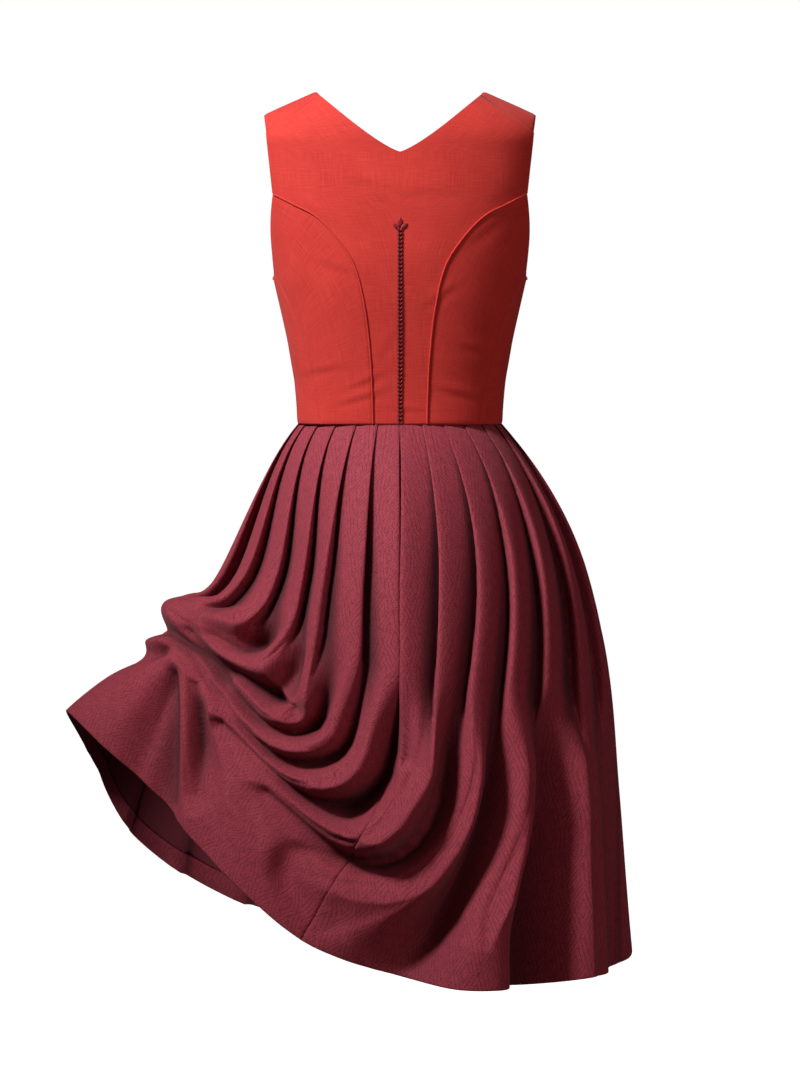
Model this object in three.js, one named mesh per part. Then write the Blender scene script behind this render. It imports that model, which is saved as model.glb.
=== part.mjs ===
// A sleeveless dirndl, seen as worn, with its skirt hitched up at the wearer's left hip.
// Millimetres, +Z up. The wearer faces +Y, so the back of the dress looks along -Y, and +X is
// to the wearer's right. The origin lies between the shoulders, at the height of the straps.
// Every piece of cloth is a closed wall: a grid of outer points and the same grid moved inwards.
import * as THREE from 'three';

// ---------- driving dimensions ----------
const WAIST_Z = -405;            // waist seam below the origin
const SEAM_GAP = 0.3;            // between neighbouring pieces
const BODICE_WALL = 1.5;         // linen with its interlining
const SKIRT_WALL = 2.2;          // jacquard with the fold allowance
const SKIRT_LENGTH = 700;        // cut length of the skirt, waist seam to hem
const PLEATS = 26;               // knife pleats all round
const PLEAT_DEPTH = { waist: 2.6, hip: 18 };
const HEM_DEPTH = 28;            // turned-up hem inside the skirt
const HEM_EXTRA = 1.2;           // what the turn-up adds to the wall
const BACK_V_Z = -72.5;          // lowest point of the back neckline
const FRONT_V_Z = -150;          // lowest point of the front neckline
const STRAP_TURN_Z = -60;        // above this the bodice curves over the shoulder
const SHOULDER_Z = 8;            // top of the shoulder beside the neck
const NECK_HALF_WIDTH = 105;
const SHOULDER_SLOPE = 0.45;
const SECTION_POWER = 2.3;       // squareness of the bodice's level sections
const PIPING = { width: 3.2, height: 2.4 };
const BRAID = { width: 6.6, height: 1.4, topZ: -166 };
const SPRIG = { leaf: 9.5, width: 5.2, height: 1.2, z: -161 };

// ---------- materials ----------
const cloth = (color, roughness) => new THREE.MeshStandardMaterial({ color, roughness, metalness: 0 });
const linen = cloth(0xc8322c, 0.8);
const jacquard = cloth(0x7a2438, 0.75);
const silkThread = cloth(0x5a1226, 0.55);

// ---------- curves through a few points ----------
// A smooth curve through rows of numbers at rising knots. Each row's slope is the mean of the
// slopes on its two sides, weighted by the other side's length.
function through(knots, rows, at, firstSlope) {
  const last = knots.length - 1;
  let i = 0;
  while (i < last - 1 && at >= knots[i + 1]) i += 1;
  const rise = (k, c) => (rows[k + 1][c] - rows[k][c]) / (knots[k + 1] - knots[k]);
  const slope = (k, c) => {
    if (k === 0) return firstSlope === undefined ? rise(0, c) : firstSlope;
    if (k === last) return rise(last - 1, c);
    const before = knots[k] - knots[k - 1];
    const after = knots[k + 1] - knots[k];
    return (rise(k - 1, c) * after + rise(k, c) * before) / (before + after);
  };
  const span = knots[i + 1] - knots[i];
  const s = (at - knots[i]) / span;
  return rows[0].map((_, c) => rows[i][c] * (2 * s ** 3 - 3 * s ** 2 + 1)
    + rows[i + 1][c] * (3 * s ** 2 - 2 * s ** 3)
    + slope(i, c) * span * (s ** 3 - 2 * s ** 2 + s)
    + slope(i + 1, c) * span * (s ** 3 - s ** 2));
}
const level = (table, z) => through(table.map((r) => r[0]), table.map((r) => r.slice(1)), z);
const ramp = (from, to, x) => {
  const t = THREE.MathUtils.clamp((x - from) / (to - from), 0, 1);
  return t * t * (3 - 2 * t);
};
const radians = THREE.MathUtils.degToRad;

// ---------- walls from grids ----------
// The sum of the surface's normals at each point of some quads.
function normalsOf(points, quads) {
  const normal = points.map(() => new THREE.Vector3());
  for (const quad of quads) {
    const diagonal = points[quad[2]].clone().sub(points[quad[0]]);
    const n = diagonal.cross(points[quad[3]].clone().sub(points[quad[1]]));
    for (const p of quad) normal[p].add(n);
  }
  return normal;
}

// The points are a panel's outer side, and the quads run counterclockwise seen from outside.
// The outline is drawn in by half a seam gap, and the inner side lies one wall further in,
// against each point's outward direction.
function wall(name, material, { points, quads, outward }, depthAt) {
  const normal = normalsOf(points, quads).map((n) => n.normalize());
  const edges = new Map();
  for (const quad of quads) {
    quad.forEach((a, k) => edges.set(`${a},${quad[(k + 1) % 4]}`, [a, quad[(k + 1) % 4]]));
  }
  const rim = [...edges.values()].filter(([a, b]) => !edges.has(`${b},${a}`));
  // Inward directions of the two rim edges that meet at a point, square to each edge.
  const inwards = new Map();
  for (const [a, b] of rim) {
    const step = points[b].clone().sub(points[a]);
    for (const p of [a, b]) {
      inwards.set(p, [...(inwards.get(p) ?? []), normal[p].clone().cross(step).normalize()]);
    }
  }
  const outer = points.map((p) => p.clone());
  for (const [p, [n1, n2]] of inwards) {
    const mitre = SEAM_GAP / 2 / Math.max(SHARPEST_MITRE, 1 + n1.dot(n2));
    outer[p].addScaledVector(n1.clone().add(n2), mitre);
  }
  const inner = outer.map((p, k) => p.clone().addScaledVector(outward[k], -depthAt(k)));
  const count = outer.length;
  const faces = [];
  for (const [a, b, c, d] of quads) {
    faces.push(a, b, c, a, c, d);
    faces.push(count + a, count + c, count + b, count + a, count + d, count + c);
  }
  for (const [a, b] of rim) faces.push(a, count + a, count + b, a, count + b, b);
  return closedMesh(name, material, [...outer, ...inner], faces);
}
function closedMesh(name, material, points, faces) {
  const geometry = new THREE.BufferGeometry();
  geometry.setAttribute('position',
    new THREE.Float32BufferAttribute(points.flatMap((p) => p.toArray()), 3));
  geometry.setIndex(faces);
  geometry.computeVertexNormals();
  const mesh = new THREE.Mesh(geometry, material);
  mesh.name = name;
  return mesh;
}

// Panels that are sewn together share their outward directions along the seams.
function sewn(panels, material, thickness) {
  const key = (p) => p.toArray().map((c) => Math.floor(c * 20 + 0.37)).join();
  const shared = new Map();
  const own = panels.map(({ points, quads }) => normalsOf(points, quads));
  panels.forEach(({ points }, k) => points.forEach((p, i) => {
    shared.set(key(p), (shared.get(key(p)) ?? new THREE.Vector3()).add(own[k][i]));
  }));
  return panels.map(({ name, points, quads }) => {
    const outward = points.map((p) => shared.get(key(p)).clone().normalize());
    return wall(name, material, { points, quads, outward }, () => thickness);
  });
}

const SHARPEST_MITRE = 0.12;

// Quads of a grid held as rows of point indices. Rows run upwards, columns to the right as
// seen from outside.
function gridQuads(rows) {
  const quads = [];
  for (let r = 0; r + 1 < rows.length; r += 1) {
    for (let c = 0; c + 1 < rows[r].length; c += 1) {
      quads.push([rows[r][c], rows[r][c + 1], rows[r + 1][c + 1], rows[r + 1][c]]);
    }
  }
  return quads;
}
const steps = (count) => Array.from({ length: count + 1 }, (_, k) => k / count);

// ---------- the bodice's body form ----------
// Level sections: height, half width, depth of the back, depth of the front.
const SECTIONS = [
  [-405, 128, 92, 92], [-375, 129.5, 93, 94], [-350, 132, 95, 98], [-325, 136.5, 98, 105],
  [-300, 141, 101, 112], [-275, 146.5, 104, 117], [-250, 152, 107, 119], [-225, 157.5, 109, 117],
  [-200, 162.5, 110, 113], [-165, 170, 109.5, 106], [-119, 177, 107, 97], [-60, 183, 100, 88],
  [20, 187, 92, 80],
];
const BUST = { x: 74, z: -255, spreadX: 44, spreadZ: 46, height: 15 };

// Share of a section's depth that is left at x, a superellipse's height.
const depthShare = (x, halfWidth) => (
  Math.max(0, 1 - Math.abs(x / halfWidth) ** SECTION_POWER) ** (1 / SECTION_POWER));
const shoulderTop = (x) => SHOULDER_Z + SHOULDER_SLOPE * (NECK_HALF_WIDTH - Math.abs(x));

// A point of the body form over x and z, on the back (side -1) or the front (side 1).
function bodyAt(x, z, side) {
  const [halfWidth, back, front] = level(SECTIONS, z);
  let depth = (side < 0 ? back : front) * depthShare(x, halfWidth);
  if (z > STRAP_TURN_Z) {
    const rise = Math.min(1, (z - STRAP_TURN_Z) / (shoulderTop(x) - STRAP_TURN_Z));
    depth *= Math.sqrt(1 - rise * rise);
  }
  if (side > 0) {
    const across = (Math.abs(x) - BUST.x) / BUST.spreadX;
    const up = (z - BUST.z) / BUST.spreadZ;
    depth += BUST.height * Math.exp(-across * across - up * up) * depthShare(x, halfWidth) ** 0.3;
  }
  return new THREE.Vector3(x, side * depth, z);
}

// A point of the body form at an angle from the centre back, which also reaches the sides.
function bodyRound(angle, z) {
  const halfWidth = level(SECTIONS, z)[0];
  const x = halfWidth * Math.abs(Math.sin(angle)) ** (2 / SECTION_POWER) * Math.sign(Math.sin(angle));
  return bodyAt(x, z, Math.cos(angle) > 0 ? -1 : 1);
}
const angleOf = (x, z, side) => {
  const sine = Math.min(1, Math.abs(x) / level(SECTIONS, z)[0]) ** (SECTION_POWER / 2);
  return side < 0 ? Math.asin(sine) : Math.PI - Math.asin(sine);
};

// A point on the strap: turn is 90 degrees at the back, 0 on the shoulder, -90 at the front.
function strapAt(x, turn) {
  const z = STRAP_TURN_Z + (shoulderTop(x) - STRAP_TURN_Z) * Math.cos(radians(turn));
  return bodyAt(x, Math.min(z, shoulderTop(x) - 1e-4), turn > 0 ? -1 : 1);
}

// ---------- the bodice's seams ----------
// Each seam is a smooth line through a few points, and is cut into the same steps for the
// panels on both of its sides. Heights are measured down from the origin.
const SEAM_STEPS = 16;
const BACK_PRINCESS = [   // x, z
  [33, -405], [34, -366], [36, -325], [42, -268], [54, -215], [74, -181], [102, -151], [130, -135.5],
  [157, -121],
];
const FRONT_PRINCESS = [  // x, z
  [45, -405], [49, -355], [58, -305], [76, -255], [94, -215], [112, -181], [131, -150], [150, -125],
];
const SIDE_SEAM = [       // degrees from the centre back, z
  [47, -405], [51, -360], [55.3, -317], [62, -265], [69, -235], [80, -215],
];
const seam = (rows, t) => through(rows.map((_, k) => k / (rows.length - 1)), rows, t);
const backPrincess = steps(SEAM_STEPS).map((t) => seam(BACK_PRINCESS, t));
const frontPrincess = steps(SEAM_STEPS).map((t) => seam(FRONT_PRINCESS, t));
const sideSeam = steps(SEAM_STEPS).map((t) => seam(SIDE_SEAM, t));
const BACK_ARMHOLE = [    // z, x: from the princess seam up to the shoulder seam
  [-121, 157], [-92, 160], [-65, 163], [-46, 165],
];
const SHOULDER_SEAM = { outer: { x: 165, turn: 70.5 }, inner: { x: 99.5, turn: 30 } };
const FRONT_ARMHOLE = [   // z, x
  [-125, 150], [-100, 152], [-80, 155], [-60, 159],
];
const STRAP = [           // turn in degrees, inner x, outer x
  [-90, 97, 159], [-45, 101.5, 165], [0, 104.5, 169], [42, 104.5, 167.5], [70.5, 99.5, 165],
];

// ---------- the bodice's panels ----------
const BACK_COLUMNS = 10;
const STRAP_ROWS = 3;
const NECK_CURVE = 1.27;         // the neckline bends upwards from the V to the shoulder

// The centre back: level rows up to the low point of the V, then a strap on each side.
function backCentre() {
  const points = [];
  const add = (p) => points.push(p) - 1;
  const spread = (half, z) => steps(BACK_COLUMNS).map((s) => add(bodyAt(half * (2 * s - 1), z, -1)));
  const lower = backPrincess.map(([x, z]) => spread(x, z));
  for (const z of [-105, -88, BACK_V_Z]) lower.push(spread(level(BACK_ARMHOLE, z)[0], z));
  const quads = gridQuads(lower);
  const top = lower[lower.length - 1];
  for (const side of [-1, 1]) {
    const half = BACK_COLUMNS / 2;
    const start = side < 0 ? top.slice(0, half + 1) : top.slice(half).reverse();
    // start runs from the armhole to the low point of the V
    const rows = [start];
    for (const t of steps(STRAP_ROWS).slice(1)) {
      rows.push(steps(half).map((s) => {
        const low = [THREE.MathUtils.lerp(level(BACK_ARMHOLE, BACK_V_Z)[0], 0, s), BACK_V_Z];
        const turn = THREE.MathUtils.lerp(SHOULDER_SEAM.outer.turn, SHOULDER_SEAM.inner.turn, s);
        const highX = THREE.MathUtils.lerp(SHOULDER_SEAM.outer.x, SHOULDER_SEAM.inner.x, s);
        const highZ = strapAt(highX, turn).z;
        return add(bodyAt(side * THREE.MathUtils.lerp(low[0], highX, t),
          THREE.MathUtils.lerp(low[1], highZ, t ** THREE.MathUtils.lerp(1, NECK_CURVE, s)), -1));
      }));
    }
    quads.push(...gridQuads(side < 0 ? rows : rows.map((row) => [...row].reverse())));
  }
  return { name: 'bodice_back_centre', points, quads };
}

// A side panel between two seams. Its upper edge is the armhole, which dips by sag between
// the seams' ends.
function sidePanel(name, side, seamA, seamB, columns, sag) {
  const points = [];
  const rows = seamA.map((a, k) => {
    const b = seamB[k];
    const t = k / SEAM_STEPS;
    return steps(columns).map((s) => {
      const angle = THREE.MathUtils.lerp(a[0], b[0], s);
      const z = THREE.MathUtils.lerp(a[1], b[1], s) - sag * 4 * s * (1 - s) * t ** 3;
      return points.push(bodyRound(side * angle, z)) - 1;
    });
  });
  const leftToRight = (seamB[0][0] > seamA[0][0]) === (side > 0);
  const quads = gridQuads(leftToRight ? rows : rows.map((row) => [...row].reverse()));
  return { name, points, quads };
}
const sideLine = sideSeam.map(([degrees, z]) => [radians(degrees), z]);
const backLine = backPrincess.map(([x, z]) => [angleOf(x, z, -1), z]);
const frontLine = frontPrincess.map(([x, z]) => [angleOf(x, z, 1), z]);

// A front: from the centre to the princess seam, and over the shoulder to the back-set seam.
const FRONT_COLUMNS = BACK_COLUMNS / 2;   // the same steps as the strap along the shoulder seam
function front(name, side) {
  const points = [];
  const rows = [];
  const across = (inner, outer, place) => steps(FRONT_COLUMNS).map((s) => (
    points.push(place(side * THREE.MathUtils.lerp(inner, outer, s))) - 1));
  const neckline = (z) => (z <= FRONT_V_Z ? 0 : (STRAP[0][1]
    * ((z - FRONT_V_Z) / (STRAP_TURN_Z - FRONT_V_Z)) ** 0.85));
  for (const [x, z] of frontPrincess) rows.push(across(neckline(z), x, (px) => bodyAt(px, z, 1)));
  for (const z of [-100, -80, STRAP_TURN_Z]) {
    rows.push(across(neckline(z), level(FRONT_ARMHOLE, z)[0], (px) => bodyAt(px, z, 1)));
  }
  for (const share of steps(10).slice(1)) {
    const row = steps(FRONT_COLUMNS).map((s) => {
      const endTurn = THREE.MathUtils.lerp(SHOULDER_SEAM.inner.turn, SHOULDER_SEAM.outer.turn, s);
      const turn = THREE.MathUtils.lerp(-90, endTurn, share);
      const [inner, outer] = level(STRAP, THREE.MathUtils.lerp(-90, 70.5, share));
      const endX = THREE.MathUtils.lerp(SHOULDER_SEAM.inner.x, SHOULDER_SEAM.outer.x, s);
      const x = share === 1 ? endX : THREE.MathUtils.lerp(inner, outer, s);
      return points.push(strapAt(side * x, turn)) - 1;
    });
    rows.push(row);
  }
  const quads = gridQuads(side < 0 ? rows : rows.map((row) => [...row].reverse()));
  return { name, points, quads };
}

// ---------- trims on the bodice's back ----------
// A strip that lies on the body form: a low arch of given width and height over a line of
// (x, z) points.
function strip(name, material, line, width, height, arch) {
  const profile = arch.map(([s, h]) => [s * width / 2, SEAM_GAP + 0.1 + h * height]);
  const rings = line.map(([x, z], k) => {
    const [x0, z0] = line[Math.max(0, k - 1)];
    const [x1, z1] = line[Math.min(line.length - 1, k + 1)];
    const along = bodyAt(x1, z1, -1).sub(bodyAt(x0, z0, -1)).normalize();
    const here = bodyAt(x, z, -1);
    const normal = bodyAt(x + Math.sign(x || 1), z, -1).sub(bodyAt(x - Math.sign(x || 1), z, -1))
      .cross(bodyAt(x, z + 1, -1).sub(bodyAt(x, z - 1, -1))).normalize();
    if (normal.y > 0) normal.negate();
    const across = along.clone().cross(normal).normalize();
    return profile.map(([s, h]) => here.clone().addScaledVector(across, s).addScaledVector(normal, h));
  });
  const n = profile.length;
  const faces = [];
  for (let k = 0; k + 1 < rings.length; k += 1) {
    for (let c = 0; c < n; c += 1) {
      const [a, b] = [k * n + c, k * n + (c + 1) % n];
      faces.push(a, a + n, b + n, a, b + n, b);
    }
  }
  const end = (rings.length - 1) * n;
  for (let c = 1; c + 1 < n; c += 1) faces.push(0, c, c + 1, end, end + c + 1, end + c);
  return closedMesh(name, material, rings.flat(), faces);
}
const ROUND_ARCH = [[-1, 0], [1, 0], [0.85, 0.62], [0, 1], [-0.85, 0.62]];
const FLAT_ARCH = [[-1, 0], [1, 0], [1, 0.8], [0, 1], [-1, 0.8]];

// Three leaves in one outline: a point upwards and one to each side.
function sprig() {
  const outline = new THREE.Shape();
  const { leaf, width } = SPRIG;
  outline.moveTo(-width / 4, -leaf / 2);
  outline.quadraticCurveTo(-leaf * 0.9, -leaf * 0.45, -leaf * 0.85, leaf * 0.2);
  outline.quadraticCurveTo(-leaf * 0.4, leaf * 0.15, -width / 4, -leaf * 0.05);
  outline.quadraticCurveTo(-width / 2, leaf * 0.45, 0, leaf);
  outline.quadraticCurveTo(width / 2, leaf * 0.45, width / 4, -leaf * 0.05);
  outline.quadraticCurveTo(leaf * 0.4, leaf * 0.15, leaf * 0.85, leaf * 0.2);
  outline.quadraticCurveTo(leaf * 0.9, -leaf * 0.45, width / 4, -leaf / 2);
  const geometry = new THREE.ExtrudeGeometry(outline,
    { depth: SPRIG.height, bevelEnabled: false, curveSegments: 4 });
  const mesh = new THREE.Mesh(geometry, silkThread);
  mesh.name = 'back_sprig';
  const seat = bodyAt(0, SPRIG.z, -1);
  mesh.rotation.x = Math.PI / 2;
  mesh.position.set(0, seat.y - SEAM_GAP - 0.15, SPRIG.z + leaf / 2);
  return mesh;
}

// ---------- the skirt ----------
// u counts pleats round the waist: 0 at the centre back, 6.5 at the right side seam, -6.5 at
// the left one, 13 and -13 at the centre front. v runs from the waist (0) to the hem (1).
const HALF = PLEATS / 2;
const dropAt = (v) => v * SKIRT_LENGTH - 42 * (1 - Math.exp(-v * SKIRT_LENGTH / 120));
const sprung = (t) => 1 - Math.exp(-t / 150);

// The skirt before it is hitched: level half ellipses that spring out over the hips.
function hanging(u, v) {
  const t = dropAt(v);
  const turn = u * 180 / HALF;
  const angle = radians(turn - 3.75 * Math.sin(radians(2 * turn)));
  const deep = Math.cos(angle) > 0 ? 92 + 105 * sprung(t) + 0.095 * t : 92 + 80 * sprung(t) + 0.09 * t;
  return [
    (126.5 + 123 * sprung(t) + 0.0645 * t) * Math.sin(angle),
    -deep * Math.cos(angle),
    WAIST_Z - SEAM_GAP - t,
  ];
}

// Where the hitched cloth really lies: warp lines by u, with their place at the hip (v 0.3),
// at the height of the hand (v 0.6) and at the hem.
const WARPS = [
  { u: -13, hip: [0, 167, -588], hand: [0, 204, -790], hem: [0, 235, -1066] },
  { u: -11.5, hip: [-70, 163, -588], hand: [-80, 198, -785], hem: [-80, 228, -1062] },
  { u: -10.25, hip: [-125, 148, -590], hand: [-150, 180, -768], hem: [-169, 215, -1048] },
  { u: -9, hip: [-165, 120, -590], hand: [-218, 145, -745], hem: [-272, 175, -998] },
  { u: -8, hip: [-200, 72, -592], hand: [-272, 98, -720], hem: [-343, 135, -938] },
  { u: -6.5, hip: [-222, 0, -595], hand: [-306, 5, -668], hem: [-384, 50, -830] },
  { u: -5, hip: [-184, -80, -590], hand: [-280, -72, -664], hem: [-400, -60, -768] },
  { u: -4, hip: [-146, -115, -590], hand: [-212, -128, -690], hem: [-348, -110, -806] },
  { u: -3, hip: [-113, -143, -590], hand: [-152, -165, -722], hem: [-284, -150, -864] },
  { u: -2, hip: [-86, -165, -590], hand: [-118, -195, -762], hem: [-240, -185, -907] },
  { u: -1, hip: [-42, -180, -588], hand: [-60, -215, -778], hem: [-182, -215, -960] },
  { u: 0, hip: [0, -186, -588], hand: [-8, -228, -790], hem: [-114, -238, -1014] },
  { u: 2, hip: [92, -168, -588], hand: [74, -218, -794], hem: [45, -252, -1066] },
  { u: 4, hip: [168, -118, -588], hand: [168, -165, -794], hem: [136, -228, -1072] },
  { u: 6.5, hip: [226, 0, -588], hand: [264, -30, -794], hem: [268, -112, -1066] },
  { u: 8, hip: [208, 66, -588], hand: [254, 50, -794], hem: [290, 10, -1060] },
  { u: 10, hip: [139, 132, -588], hand: [180, 150, -794], hem: [215, 165, -1066] },
  { u: 13, hip: [0, 167, -588], hand: [0, 204, -790], hem: [0, 235, -1066] },
];
const WARP_V = [0, 0.3, 0.6, 1];
const warpShifts = WARPS.map(({ u, hip, hand, hem }) => [hip, hand, hem].flatMap((place, k) => {
  const from = hanging(u, WARP_V[k + 1]);
  return place.map((value, axis) => value - from[axis]);
}));

// The smooth skirt: the hanging one, shifted to where its warp lines lie. Above the hitch the
// cloth is pulled out and up into a puff.
const roundTo = (u) => (u > HALF ? u - PLEATS : u);
const PUFF = { u: -6.2, v: 0.49, spreadU: 1.3, spreadV: 0.08, out: -2, up: 10 };
function smoothSkirt(u, v) {
  const round = roundTo(u);
  const shift = through(WARPS.map((w) => w.u), warpShifts, round);
  const rows = [[0, 0, 0], shift.slice(0, 3), shift.slice(3, 6), shift.slice(6, 9)];
  const moved = through(WARP_V, rows, v, 0);
  const puff = Math.exp(-(((round - PUFF.u) / PUFF.spreadU) ** 2) - ((v - PUFF.v) / PUFF.spreadV) ** 2);
  const [x, y, z] = hanging(round, v);
  return new THREE.Vector3(x + moved[0] - PUFF.out * puff, y + moved[1], z + moved[2] + PUFF.up * puff);
}

// The lower folds, as sighted level from EYE_DISTANCE behind the dress. Each runs through four
// places: x, z and how strong the fold is there. Ridges stand out, and the valleys between them
// are the creases. Folds narrower than about 20 mm, at the hitch itself, are left out.
const EYE_DISTANCE = 4500;
const EYE_Z = -350;
const RIDGES = {
  puff: [[-173, -585, 0.6], [-183, -625, 1], [-218, -640, 0.9], [-276, -628, 0.45]],
  upperSwag: [[-131, -600, 0.8], [-143, -681, 1], [-191, -702, 1], [-276, -645, 1]],
  pocketSwag: [[-102, -612, 0.8], [-118, -728, 1], [-159, -768, 1], [-203, -730, 0.6]],
  hipSwag: [[-61, -688, 0.8], [-94, -802, 1], [-197, -778, 1], [-293, -676, 0.8]],
  thirdSwag: [[-31, -725, 0.8], [-61, -831, 1], [-148, -844, 1], [-228, -758, 0.6]],
  fourthSwag: [[49, -675, 0.8], [14, -840, 1], [-73, -922, 1], [-208, -810, 0.4]],
  fifthSwag: [[104, -750, 0.8], [68, -900, 1], [-13, -978, 0.8], [-138, -965, 0]],
  greatPleat: [[153, -750, 0.8], [146, -885, 1], [99, -1021, 1], [99, -1125, 1]],
  rightEdge: [[221, -738, 0.5], [229, -862, 0.7], [232, -975, 0.7], [234, -1100, 0.7]],
  flareCorner: [[-301, -702, 0.3], [-326, -738, 0.4], [-351, -778, 0.4], [-394, -831, 0.35]],
  flareMiddle: [[-219, -800, 0], [-201, -862, 0.3], [-173, -925, 0.4], [-173, -1025, 0.4]],
};
const CREASES = {
  abovePuff: [[-233, -590, 1], [-206, -625, 1], [-188, -610, 0.9], [-178, -569, 0.5]],
  underPuff: [[-149, -594, 0.9], [-162, -655, 1], [-197, -686, 1], [-233, -670, 0.2]],
  handCrease: [[-133, -758, 1], [-171, -738, 1], [-223, -705, 1], [-296, -662, 1]],
  pocketEnd: [[-117, -588, 0.9], [-121, -650, 1], [-127, -706, 1], [-133, -758, 1]],
  besideCentre: [[34, -594, 0.3], [26, -675, 0.4], [17, -750, 0.3], [9, -825, 0.1]],
  pocket: [[-86, -675, 0.8], [-102, -775, 1], [-168, -782, 1], [-261, -662, 0.8]],
  underHipSwag: [[-46, -700, 0.8], [-69, -808, 0.9], [-157, -821, 0.9], [-247, -722, 0.9]],
  centreCrease: [[-2, -700, 0.8], [-21, -848, 1], [-107, -878, 1], [-223, -780, 0.15]],
  underFourthSwag: [[78, -675, 0.8], [52, -894, 1], [-38, -962, 1], [-166, -868, 0]],
  besideGreatPleat: [[123, -750, 0.8], [112, -894, 1], [58, -1015, 0.7], [-13, -1106, 0.2]],
  rightCrease: [[181, -750, 0.8], [176, -888, 1], [166, -988, 1], [159, -1125, 1]],
  rightPanel: [[244, -738, 0.2], [257, -862, 0.25], [264, -975, 0.3], [272, -1100, 0.3]],
};
const THIRDS = [0, 1 / 3, 2 / 3, 1];
const FOLD_STEPS = 13;
const traced = (folds) => (
  Object.values(folds).map((line) => steps(FOLD_STEPS).map((t) => through(THIRDS, line, t))));
const ridgeLines = traced(RIDGES);
const creaseLines = traced(CREASES);
// How far a place is from a line, and how strong the fold is at the nearest point of the line.
function distanceTo(line, x, z) {
  let best = { distance: Infinity, strength: 0 };
  for (let k = 0; k + 1 < line.length; k += 1) {
    const [ax, az, strength] = line[k];
    const [bx, bz] = [line[k + 1][0] - ax, line[k + 1][1] - az];
    const t = THREE.MathUtils.clamp(((x - ax) * bx + (z - az) * bz) / (bx * bx + bz * bz), 0, 1);
    const distance = Math.hypot(x - ax - t * bx, z - az - t * bz);
    if (distance < best.distance) {
      best = { distance, strength: THREE.MathUtils.lerp(strength, line[k + 1][2], t) };
    }
  }
  return best;
}
// The distance and strength of the nearest of several lines, eased where two are equally near.
const STRENGTH_EASE = 8;
function nearest(lines, x, z, ease) {
  const all = lines.map((line) => distanceTo(line, x, z));
  const least = Math.min(...all.map(({ distance }) => distance));
  const total = (width, value) => all.reduce((sum, one) => (
    sum + value(one) * Math.exp((least - one.distance) / width)), 0);
  return {
    distance: Math.max(0, least - ease * Math.log(total(ease, () => 1))),
    strength: total(STRENGTH_EASE, (one) => one.strength) / total(STRENGTH_EASE, () => 1),
  };
}

const FOLD_STEEPNESS = 0.6;      // a fold's height for the distance from ridge to crease
const FOLD_SPAN = 60;
const FOLD_DROOP = 0.28;         // how far a ridge sinks for the same distance
// The swags: highest on a ridge, lowest in a crease, a cosine between them. Ridges droop.
function swagAt(point) {
  const near = EYE_DISTANCE / (EYE_DISTANCE + point.y);
  const [x, z] = [point.x * near, EYE_Z + (point.z - EYE_Z) * near];
  const ridge = nearest(ridgeLines, x, z, 5);
  const crease = nearest(creaseLines, x, z, 4);
  const reach = ridge.distance + crease.distance;
  const wave = Math.cos(Math.PI * (ridge.distance / (reach + 1e-6)) ** 1.2);
  const span = Math.min(reach, FOLD_SPAN);
  const high = ridge.strength * (1 + wave) / 2 * span;
  const low = crease.strength * (1 - wave) / 2 * span;
  return { height: (high - low) * FOLD_STEEPNESS, droop: high * FOLD_DROOP };
}

// Height of a knife pleat: its folded edge faces the centre back, falls steeply there and
// slopes gently to the next pleat. On the right the pleats lie flat towards the hem.
const PLEAT_POWER = 0.6;
const CREST = 0.5 ** (1 / PLEAT_POWER);   // share of a pleat from its crease to its edge
function pleatHeight(u, v) {
  const round = roundTo(u);
  const share = THREE.MathUtils.euclideanModulo(Math.abs(round) + CREST, 1);
  const flat = ramp(5.2, 6.2, round) * (1 - ramp(7.8, 9.4, round)) * ramp(0.42, 0.7, v);
  const depth = THREE.MathUtils.lerp(PLEAT_DEPTH.waist, PLEAT_DEPTH.hip, ramp(0, 0.3, v));
  return (Math.sin(Math.PI * share ** PLEAT_POWER) - 0.6) * depth * (1 - 0.85 * flat);
}

// Raises a place of the smooth skirt by its pleats, or by the swags where these take over.
function foldedAt(u, v, place, direction) {
  const round = roundTo(u);
  const back = ramp(-7.6, -6.4, round) * (1 - ramp(6.3, 7.3, round));
  const start = 0.36 + 0.12 * ramp(-4, 2, round);
  const swagged = ramp(start, start + 0.16, v) * back;
  const swag = swagged > 0 ? swagAt(place) : { height: 0, droop: 0 };
  const height = THREE.MathUtils.lerp(pleatHeight(u, v), swag.height, swagged);
  const droop = swag.droop * swagged * (1 - ramp(0.7, 1, v));
  const folded = place.clone().addScaledVector(direction, height);
  folded.z -= droop;
  return folded;
}

// The cloth's outward direction, level along the waist seam so that the seam stays flat.
function outwardAt(u, v) {
  const [du, dv] = [0.02, 0.004];
  const across = smoothSkirt(u + du, v).sub(smoothSkirt(u - du, v));
  const down = smoothSkirt(u, Math.min(1, v + dv)).sub(smoothSkirt(u, Math.max(0, v - dv)));
  const n = down.cross(across).normalize();
  n.z *= ramp(0, 0.08, v);
  return n.normalize();
}

// A skirt panel from u0 to u1, with the given column places inside each pleat and rows down
// the cloth. The wall is thicker over the turned-up hem.
function skirtPanel(name, us, vs) {
  const points = [];
  const outward = [];
  const depths = [];
  const rows = vs.map((v) => us.map((u) => {
    const place = smoothSkirt(u, v);
    const direction = outwardAt(u, v);
    outward.push(direction);
    depths.push(SKIRT_WALL + (v > 1 - HEM_DEPTH / SKIRT_LENGTH - 1e-6 ? HEM_EXTRA : 0));
    return points.push(foldedAt(u, v, place, direction)) - 1;
  }));
  const panel = { points, quads: gridQuads(rows.reverse()), outward };
  return wall(name, jacquard, panel, (k) => depths[k]);
}
const PLEAT_COLUMNS = [0, 0.25, 0.5, 0.685, 0.84];
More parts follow.
